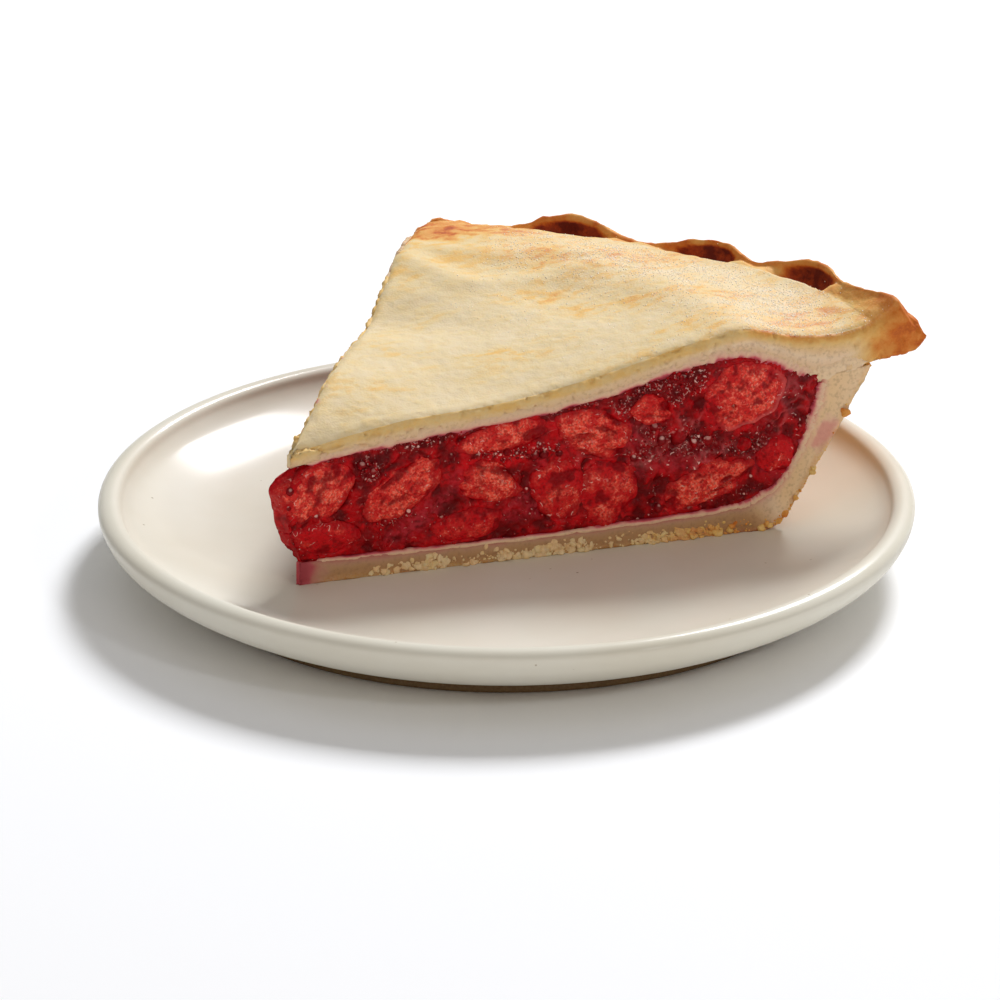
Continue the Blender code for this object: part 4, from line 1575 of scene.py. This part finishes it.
@dataclass
class SetFilling:
    """The gel round the cherries, as a block whose two cut faces are worked."""

    shape: PieShape
    cherries: list[SlicedCherry]
    columns: int = 396
    levels: int = 88
    rows: int = 16
    far_end: float = 102.0
    clearance: float = 0.02
    net_size: float = 3.6
    bubble_sizes: tuple[float, float] = (1.9, 1.1)
    seed: int = 55
    bubbles: tuple[Patch, ...] = patches(
        (24, 26.2, 7.5, 1.8, 4), (13.5, 21.5, 2.2, 2.4), (71, 30, 9, 3.2, 18), (53, 29, 4, 1.2, 5),
        (42, 21.3, 9, 1.3, 2), (74, 20, 9, 3.4, 0, 0.8), (18.5, 11.2, 4.5, 0.9, 12), (88, 17.8, 6, 2),
    )
    deeps: tuple[Patch, ...] = patches(
        (24, 26.4, 8, 1.9, 4, 0.8), (13, 21, 3, 3.6, 0, 0.7), (13.5, 15, 1.6, 4, 0, 0.7),
        (28, 14.5, 3, 2, 30, 0.6), (45.5, 14, 2.6, 5, 0, 0.8), (70, 31, 9, 2.6, 18, 0.7),
        (66.6, 12, 1.6, 6, 0, 0.8), (76, 19, 8, 3, 0, 0.6), (88.5, 17.6, 6, 2, 0, 0.8),
        (97, 27, 2.2, 5, 10, 0.5), (41, 7.6, 6, 2.2, 0, 0.6), (53, 28.6, 5, 1.2, 6, 0.8),
        (13, 7.5, 1.6, 2, 0, 0.6), (86, 7.6, 6, 1.2, 16, 0.6), (29.5, 22.5, 2.5, 2.5, 0, 0.5),
    )
    hazes: tuple[Patch, ...] = patches(
        (23.5, 10.5, 6.5, 2.2, 34, 0.75), (44, 10.5, 4.5, 3, 10, 0.55), (31, 17, 2.4, 2.4, 0, 0.5),
        (73, 16.5, 8, 2.6, 6, 0.45), (65.5, 22, 4, 3.5, 0, 0.4), (47, 16, 2, 4, 0, 0.4),
        (93, 14, 5, 4, 50, 0.35),
    )
    brights: tuple[Patch, ...] = patches(
        (-2.5, 14, 2.4, 5, 0, 0.6), (38, 20.2, 9, 1.5, 0, 0.75), (51, 20, 5, 4, 0, 0.6),
        (70, 14, 4, 4, 0, 0.4), (30, 6.4, 7, 1.2, 0, 0.5), (99, 21, 3.4, 5, 20, 0.45),
        (28, 18.2, 3, 2.2, 40, 0.6), (16, 8.5, 3, 1.6, 0, 0.3),
    )
    nets: tuple[Patch, ...] = patches(
        (76, 19.5, 12, 5.5), (96, 24, 5, 7, 10, 0.7), (60, 20, 5, 5, 0, 0.4), (26, 12, 8, 4, 30, 0.35)
    )

    def base_points(self, places: Array) -> Array:
        """The block's points before its faces are worked: the space that the two crusts leave."""
        s, t, k = places.T
        shape = self.shape
        column = TIP_RADIUS + (self.far_end - TIP_RADIUS) * s / (self.columns - 1)
        near = np.array([0.0, 0.6, 1.6])
        angle = np.concatenate([near, np.linspace(3, WEDGE - 3, self.rows - 6), WEDGE - near[::-1]])[k]
        inner = np.array(shape.crust_inner)
        fine_r, fine_z = through(inner, np.linspace(0, len(inner) - 1, 400)).T
        floor = np.interp(column + GAP, fine_r, fine_z) + self.clearance
        roof = shape.lid_base(column, angle) - self.clearance
        return shape.swell_filling(in_slice(column, floor + (roof - floor) * t / (self.levels - 1), angle))

    def face_fields(
        self, along: Array, up: Array, side: int, points: Array, noise: Noise
    ) -> dict[str, Array]:
        """The relief and the colour masks of a cut face, with painted shade, painted light and painted
        glints among the masks.

        Args:
            along: distance of each point along its cut.
            up: its height above the plate's floor.
            side: 0 for the front cut, 1 for the back cut.
            points: where the points are.
            noise: random values.

        Returns:
            Fields by name; relief is in mm outwards.
        """
        wobble = 0.35 * noise.layers(points, 3.0, 3)
        x = along if side == 0 else along * 0.97 + 4.0
        kinds = (self.bubbles, self.deeps, self.hazes, self.brights, self.nets)
        bubbly, deep, haze, bright, net = (covered(kind, x, up, wobble) for kind in kinds)
        warped = points + 1.3 * np.stack([noise.at(points + 40 * i, 2.6) for i in range(3)], -1)
        near, second = noise.cells(warped, self.net_size)
        line = bell((second - near) * self.net_size, 0.4) * net * ease(noise.at(points, 4.0) + 0.6)
        relief = 0.42 * noise.layers(points, 3.8, 2) + 0.5 * (0.35 - np.abs(noise.layers(warped, 2.2, 2)))
        relief += 0.16 * noise.layers(points, 0.9, 2) + 0.3 * line + 0.2 * haze - 0.35 * deep
        for size in self.bubble_sizes:
            near_small, _ = noise.cells(points, size)
            relief += bubbly * 0.3 * size * np.sqrt(np.clip(1 - (near_small / 0.55) ** 2, 0, 1))
        # Painted shade and light: darker where the relief sinks, brighter where it rises.
        deep = np.maximum(deep, 0.9 * ease((0.0 - relief) / 0.35))
        bright = np.maximum(bright, 0.5 * ease((relief - 0.2) / 0.3))
        # Painted glints: pale specks in the foamy, bubbly gel.
        froth_and_glints = bubbly * ease(noise.layers(points, 2.0, 2) + 0.6) * (1 - 0.7 * net)
        for cherry in self.cherries:
            if cherry.side == side:
                cover = cherry.cover(along, up)
                relief -= 1.4 * ease((0.9 - cover) / 0.2)
                rim = bell(cover - 0.98, 0.14) * ease(noise.at(points, 2.2) + 0.6)
                bright = np.maximum(bright, 0.7 * rim)
                froth_and_glints = froth_and_glints * ease((cover - 0.9) / 0.2)
        # The glint share sets where painted glint strokes go, most in bubbly and netted gel.
        return {
            "relief": relief, "deep": deep, "bright": bright, "line": 0.08 * line, "froth_and_glints": froth_and_glints,
            "haze": np.maximum(haze, 0.9 * line), "glint_share": 0.12 + 0.88 * np.maximum(bubbly, net),
        }

    def build(self, layout: Layout, material: bpy.types.Material) -> bpy.types.Object:
        """Makes the block, and moves each point of a cut face outwards by that face's relief."""
        noise = Noise(self.seed)
        places, quads = block_shell((self.columns, self.levels, self.rows))
        points = self.base_points(places)
        quads = facing_out(points, quads)
        s, t, k = places.T
        fade = ease(np.minimum(t, self.levels - 1 - t) / 3.5)
        masks = {key: np.zeros(len(points)) for key in ("deep", "haze", "bright", "line", "froth_and_glints", "glint_share")}
        move = np.zeros(len(points))
        for side, row in enumerate((0, self.rows - 1)):
            face = k == row
            along, up = along_cut(points[face], side)
            fields = self.face_fields(along, up, side, points[face], noise)
            move[face] = fields.pop("relief") * fade[face] - 0.6 * (1 - fade[face])
            for key, values in fields.items():
                masks[key][face] = values
        nose = (s == 0) & (k > 0) & (k < self.rows - 1)
        move[nose] = 0.35 * noise.layers(points[nose], 2.4, 3) * fade[nose]
        masks["bright"][nose] = 0.4
        points = points + normals_of(points, quads) * move[:, None]
        self.surface = (points, quads, k)
        return write_piece("set_filling", points, quads, layout, material, "filling", masks, ("filling",))


# ---------------------------------------------------------------- loose grains


def turned(rng: np.random.Generator, count: int) -> Array:
    """Random turns as matrices, from random unit quaternions."""
    w, x, y, z = (q := rng.normal(size=(count, 4))).T / np.linalg.norm(q, axis=1)
    return np.stack([
        np.stack([1 - 2 * (y * y + z * z), 2 * (x * y - z * w), 2 * (x * z + y * w)], -1),
        np.stack([2 * (x * y + z * w), 1 - 2 * (x * x + z * z), 2 * (y * z - x * w)], -1),
        np.stack([2 * (x * z - y * w), 2 * (y * z + x * w), 1 - 2 * (x * x + y * y)], -1),
    ], 1)


def cube_shape() -> tuple[Array, Array]:
    """A cube two across, as points and quads."""
    places, quads = block_shell((2, 2, 2))
    return places * 2.0 - 1.0, quads


def ball_shape(rings: int) -> tuple[Array, Array]:
    """A cube with rings cells to a side, blown out to a ball: each point over its own length."""
    places, quads = block_shell((rings + 1,) * 3)
    points = np.tan((places * 2.0 / rings - 1.0) * math.pi / 4)
    return points / np.linalg.norm(points, axis=1, keepdims=True), quads


def repeat_shape(
    shape: tuple[Array, Array], centres: Array, sizes: Array, turns: Array
) -> tuple[Array, Array]:
    """Copies a shape to many places.

    Args:
        shape: points and quads.
        centres: of the copies.
        sizes: half widths of the copies in their own three directions.
        turns: a matrix for each copy.

    Returns:
        All points and all quads: centre + turn times (size times point).
    """
    points, quads = shape
    placed = centres[:, None] + np.einsum("nij,npj->npi", turns, points[None] * sizes[:, None, :])
    numbers = quads[None] + (np.arange(len(centres)) * len(points))[:, None, None]
    return placed.reshape(-1, 3), numbers.reshape(-1, 4)


def pick_on(
    points: Array, quads: Array, weight: Array, count: int, rng: np.random.Generator
) -> tuple[Array, Array]:
    """Random places on a surface.

    Args:
        points: of the surface.
        quads: of the surface.
        weight: how likely each quad is per area.
        count: of places.
        rng: random numbers.

    Returns:
        The places, and the direction that the surface faces there.
    """
    across = quad_areas(points, quads)
    area = np.linalg.norm(across, axis=1)
    chance = area * np.maximum(weight, 0)
    chosen = rng.choice(len(quads), count, p=chance / chance.sum())
    a, b = rng.random((2, count, 1))
    four = points[quads][chosen]
    place = (four[:, 0] * (1 - a) + four[:, 1] * a) * (1 - b) + (four[:, 3] * (1 - a) + four[:, 2] * a) * b
    return place, across[chosen] / np.maximum(area[chosen, None], SMALLEST)


@dataclass
class SugarGrains:
    """Coarse sugar left on the lid, thickest towards the fluted edge."""

    lid: BakedLid
    count: int = 4500
    smallest: float = 0.04
    largest: float = 0.1
    seed: int = 8

    def build(self, layout: Layout, material: bpy.types.Material) -> bpy.types.Object:
        """Sets small turned cubes half into the lid's top."""
        rng = np.random.default_rng(self.seed)
        points, top, frost = self.lid.surface
        weight = np.clip(frost[top].mean(axis=1), 0, 1) ** 1.5 + 0.001
        centres, _ = pick_on(points, top, weight, self.count, rng)
        sizes = rng.uniform(self.smallest, self.largest, (self.count, 1))
        sizes = sizes * rng.uniform(0.7, 1.2, (self.count, 3))
        centres[:, 2] += 0.1 * sizes[:, 2]
        grains, faces = repeat_shape(cube_shape(), centres, sizes, turned(rng, self.count))
        return write_piece("sugar_grains", grains, facing_out(grains, faces), layout, material, "lid_crust")


@dataclass
class GelBubbles:
    """Small round bubbles and beads of gel that stand out of the cut faces and catch the light, each with a
    painted highlight.
    """

    filling: SetFilling
    count: int = 1100
    smallest: float = 0.1
    largest: float = 0.42
    bubble_rings: int = 2
    bead_rings: int = 8
    seed: int = 12
    beads: tuple[tuple[float, float, float], ...] = (
        (71.0, 20.4, 1.2), (74.4, 21.0, 1.8), (77.6, 19.4, 1.0), (80.4, 19.4, 1.3), (87.4, 17.9, 1.7),
        (92.4, 20.4, 1.1), (46.0, 20.4, 1.1), (47.8, 20.6, 1.0), (40.6, 21.8, 0.8), (35.2, 23.1, 0.7),
        (-3.2, 20.4, 0.8), (-3.8, 16.8, 0.7), (12.6, 22.4, 0.9), (14.6, 21.0, 0.8), (51.0, 20.4, 0.8),
        (70.6, 6.8, 0.9), (69.6, 23.4, 0.9), (83.4, 23.6, 0.7), (44.5, 13.4, 0.7), (2.8, 13.6, 0.9),
        (29.8, 22.0, 0.8), (65.6, 17.6, 0.8), (16.5, 10.6, 0.7), (19.0, 11.2, 0.8), (21.5, 12.0, 0.6),
    )

    def weight(self, along: Array, up: Array, side: int) -> Array:
        """How likely bubbles are at places on a cut: most where the gel is bubbly, least on a cherry."""
        weight = covered(self.filling.bubbles, along, up) + 0.08
        for cherry in self.filling.cherries:
            if cherry.side == side:
                weight = weight * (0.1 + 0.9 * ease((cherry.cover(along, up) - 0.85) / 0.2))
        return weight

    def build(self, layout: Layout, material: bpy.types.Material) -> bpy.types.Object:
        """Sets small balls half into the cut faces, most where the gel is bubbly.

        Each ball is painted pale on the side that faces up and out of the cut: a painted highlight, strong
        on some balls and faint on others.
        """
        rng = np.random.default_rng(self.seed)
        points, quads, k = self.filling.surface
        bubble, bead = ball_shape(self.bubble_rings), ball_shape(self.bead_rings)
        marks = np.array(self.beads)
        sets = []
        for side, row in enumerate((0, self.filling.rows - 1)):
            face = quads[(k[quads] == row).all(axis=1)]
            middle = points[face].mean(axis=1)
            along, up = along_cut(middle, side)
            centres, facing = pick_on(points, face, self.weight(along, up, side), self.count, rng)
            radius = self.smallest + (self.largest - self.smallest) * rng.random(self.count) ** 2
            sets.append((bubble, centres - 0.2 * radius[:, None] * facing, radius, facing))
            near = np.argmin(np.hypot(along[:, None] - marks[:, 0], up[:, None] - marks[:, 1]), axis=0)
            out = np.tile(facing.mean(axis=0), (len(marks), 1))
            sets.append((bead, middle[near] - 0.45 * marks[:, 2:] * out, marks[:, 2], out))
        parts, pale, dark = [], [], []
        for shape, centres, radius, facing in sets:
            corners = len(shape[0])
            sizes = radius[:, None] * rng.uniform(0.85, 1.15, (len(radius), 3))
            parts.append(repeat_shape(shape, centres, sizes, turned(rng, len(radius))))
            # Painted highlight: a pale cap on the side of each ball that faces up and out of the cut.
            light = facing + np.array([0, 0, 0.75])
            light /= np.linalg.norm(light, axis=1, keepdims=True)
            outward = (parts[-1][0] - np.repeat(centres, corners, 0)) / np.repeat(radius, corners)[:, None]
            skin = ease(((outward * np.repeat(light, corners, 0)).sum(axis=1) - 0.9) / 0.1)
            pale.append(skin * np.repeat(rng.uniform(0.2, 1.0, len(radius)), corners))
            dark.append(np.repeat(rng.random(len(radius)), corners))
        balls, faces = joined(parts)
        pale, dark = np.concatenate(pale), np.concatenate(dark)
        # The line mask carries the painted highlight caps.
        deep = 0.6 * dark * (1 - pale)
        masks = {"deep": deep, "bright": 0.4 * (1 - dark), "haze": 0.2 * dark, "line": pale}
        return write_piece(
            "gel_bubbles", balls, facing_out(balls, faces), layout, material, "filling", masks
        )


@dataclass
class BaseCrumbs:
    """Crumbs along the bottom crust's lower edge and up the broken edge of its wall."""

    base: BakedBase
    sorts: tuple[tuple[int, float, float, int], ...] = ((420, 0.45, 0.95, 5), (900, 0.15, 0.4, 2))
    seed: int = 5
    lump_seed: int = 71

    def build(self, layout: Layout, material: bpy.types.Material) -> bpy.types.Object:
        """Sets large and small uneven lumps half into the crust where it breaks up.

        A sort is a count, the smallest and the largest radius, and the cells along a lump's side.
        Each is a ball, squashed by its three sizes, turned at random and made lumpy by a noise.
        """
        rng = np.random.default_rng(self.seed)
        noise = Noise(self.lump_seed)
        points, quads = self.base.surface
        middle = points[quads].mean(axis=1)
        height = middle[:, 2] - BASE_HEIGHT
        near_cut = bell(np.min(cut_depths(middle), axis=1), 0.5)
        reach = np.hypot(middle[:, 0], middle[:, 1])
        low = bell(height - 0.7, 1.0) * ease((reach - 10) / 12)
        wall = bell(height - 6, 12) * ease((reach - 94 - 0.55 * height) / 3)
        weight = near_cut * (low + 0.5 * wall) + 0.05 * bell(height - 0.5, 0.8) * (reach > 80)
        weight *= 0.25 + ease(noise.layers(middle, 7.0, 2) + 0.5)
        parts, each = [], []
        for count, smallest, largest, rings in self.sorts:
            centres, facing = pick_on(points, quads, weight, count, rng)
            radius = rng.uniform(smallest, largest, (count, 1))
            shape = ball_shape(rings)
            sizes = radius * rng.uniform(0.55, 1.2, (count, 3))
            lumps, faces = repeat_shape(shape, centres - 0.35 * radius * facing, sizes, turned(rng, count))
            shift = np.stack([noise.layers(lumps + 30 * i, 0.9, 2) for i in range(3)], -1)
            parts.append((lumps + 0.35 * np.repeat(radius, len(shape[0]), 0) * shift, faces))
            each.append(np.repeat(rng.random(count), len(shape[0])))
        crumbs, faces = joined(parts)
        each = np.concatenate(each)
        crumbs[:, 2] = np.maximum(crumbs[:, 2], RESTING_HEIGHT)
        outer = ease((np.hypot(crumbs[:, 0], crumbs[:, 1]) - 58) / 30)
        masks = {
            "bake": 0.1 + 0.25 * each + 0.22 * outer, "cut": 0.75 * (1 - outer) * each,
            "level": 0.35 + 0.5 * each, "frost": 0.3 * each * (1 - outer), "mottle": 0.5,
        }
        return write_piece(
            "base_crumbs", crumbs, facing_out(crumbs, faces), layout, material, "bottom_crust", masks
        )


# ---------------------------------------------------------------- the studio


@dataclass(frozen=True)
class SoftLight:
    """A rectangular light that faces the plate. Turn is from straight back, clockwise from above,
    and rise from the floor, in degrees; lengths are in metres, and power in watts."""

    name: str
    turn: float
    rise: float
    distance: float
    size: tuple[float, float]
    power: float
    colour: str = "ffffff"

    def place(self) -> None:
        """Adds the light to the scene."""
        data = bpy.data.lights.new(self.name, "AREA")
        data.shape, data.size, data.size_y, data.energy = "RECTANGLE", *self.size, self.power
        data.color = linear(self.colour)[:3]
        obj = bpy.data.objects.new(self.name, data)
        bpy.context.scene.collection.objects.link(obj)
        az, el = math.radians(self.turn), math.radians(self.rise)
        away = Vector((math.sin(az) * math.cos(el), math.cos(az) * math.cos(el), math.sin(el)))
        obj.location = away * self.distance
        obj.rotation_euler = away.to_track_quat("Z", "Y").to_euler()


@dataclass
class Studio:
    """Pale floor, soft lights and the camera, with lengths in metres."""

    turn: float = -16.91
    rise: float = 22.13
    distance: float = 1.0
    lens: float = 189.46
    aim_height: float = 0.014
    shift: tuple[float, float] = (-0.00656, -0.00685)
    sensor_width: float = 36.0
    floor_half: float = 3.0
    world_strength: float = 0.25
    lights: tuple[SoftLight, ...] = (
        SoftLight("key_softbox", 41.0, 44.0, 2.4, (0.6, 0.75), 58.0, "fbfcff"),
        SoftLight("left_softbox", -150.0, 26.0, 1.5, (0.5, 0.4), 1.3, "ffe8cc"),
        SoftLight("right_softbox", 172.0, 26.0, 1.5, (0.5, 0.4), 1.3, "ffe8cc"),
        SoftLight("small_softbox", 154.0, 34.0, 1.5, (0.12, 0.12), 1.8),
        SoftLight("top_softbox", 0.0, 82.0, 1.3, (1.3, 1.3), 1.6),
    )

    def camera(self, middle: Vector) -> None:
        """Sets the camera on the plate's axis, at its turn and rise."""
        data = bpy.data.cameras.new("camera")
        data.lens, data.sensor_width = self.lens, self.sensor_width
        data.shift_x, data.shift_y = self.shift
        obj = bpy.data.objects.new("camera", data)
        bpy.context.scene.collection.objects.link(obj)
        az, el = math.radians(self.turn), math.radians(self.rise)
        back = Vector((math.sin(az) * math.cos(el), -math.cos(az) * math.cos(el), math.sin(el)))
        obj.location = Vector((middle.x, middle.y, self.aim_height)) + back * self.distance
        obj.rotation_euler = (-back).to_track_quat("-Z", "Y").to_euler()
        bpy.context.scene.camera = obj

    def floor(self, height: float) -> None:
        """Lays the paper at a height."""
        mesh = bpy.data.meshes.new("paper_floor")
        half = self.floor_half
        corners = ((-half, -half, 0), (half, -half, 0), (half, half, 0), (-half, half, 0))
        mesh.from_pydata(corners, [], [(0, 1, 2, 3)])
        mesh.materials.append(StudioPaper().material())
        paper = bpy.data.objects.new("paper_floor", mesh)
        paper.location.z = height
        bpy.context.scene.collection.objects.link(paper)

    def build(self) -> None:
        """Sets everything up."""
        low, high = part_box("plate")
        self.camera((low + high) / 2)
        for light in self.lights:
            light.place()
        world = bpy.data.worlds.new("studio")
        bpy.context.scene.world = world
        world.use_nodes = True
        background = world.node_tree.nodes["Background"].inputs
        background["Color"].default_value = linear("ffffff")
        background["Strength"].default_value = self.world_strength
        self.floor(low.z - 0.1 * MM)
        bpy.context.scene.view_settings.view_transform = "Standard"


def main() -> None:
    """Builds the pieces in order round the frame, and reports each."""
    logging.basicConfig(level=logging.INFO, format="%(name)s: %(message)s")
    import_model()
    layout, shape = Layout(), PieShape()
    Studio().build()

    glaze = GlazedStoneware().material()
    pastry = BakedPastry()
    lid_finish, base_finish = pastry.material("lid_pastry"), pastry.material("base_pastry")
    gel, flesh = CherryGel().material(), CherryFlesh().material()

    cherries = front_cherries() + back_cherries()
    lid, base, filling = BakedLid(shape), BakedBase(shape), SetFilling(shape, cherries)
    pieces = [
        StonewarePlate().build(layout, glaze),
        base.build(layout, base_finish),
        filling.build(layout, gel),
        lid.build(layout, lid_finish),
        *[cherry.build(shape, layout, flesh) for cherry in cherries],
        *[crumb.build(shape, layout, base_finish) for crumb in torn_crumbs()],
        SugarGrains(lid).build(layout, Sugar().material()),
        GelBubbles(filling).build(layout, gel),
        BaseCrumbs(base).build(layout, base_finish),
    ]
    for piece in pieces:
        LOG.info("%s: %d faces", piece.name, len(piece.data.polygons))


if __name__ == "__main__":
    main()
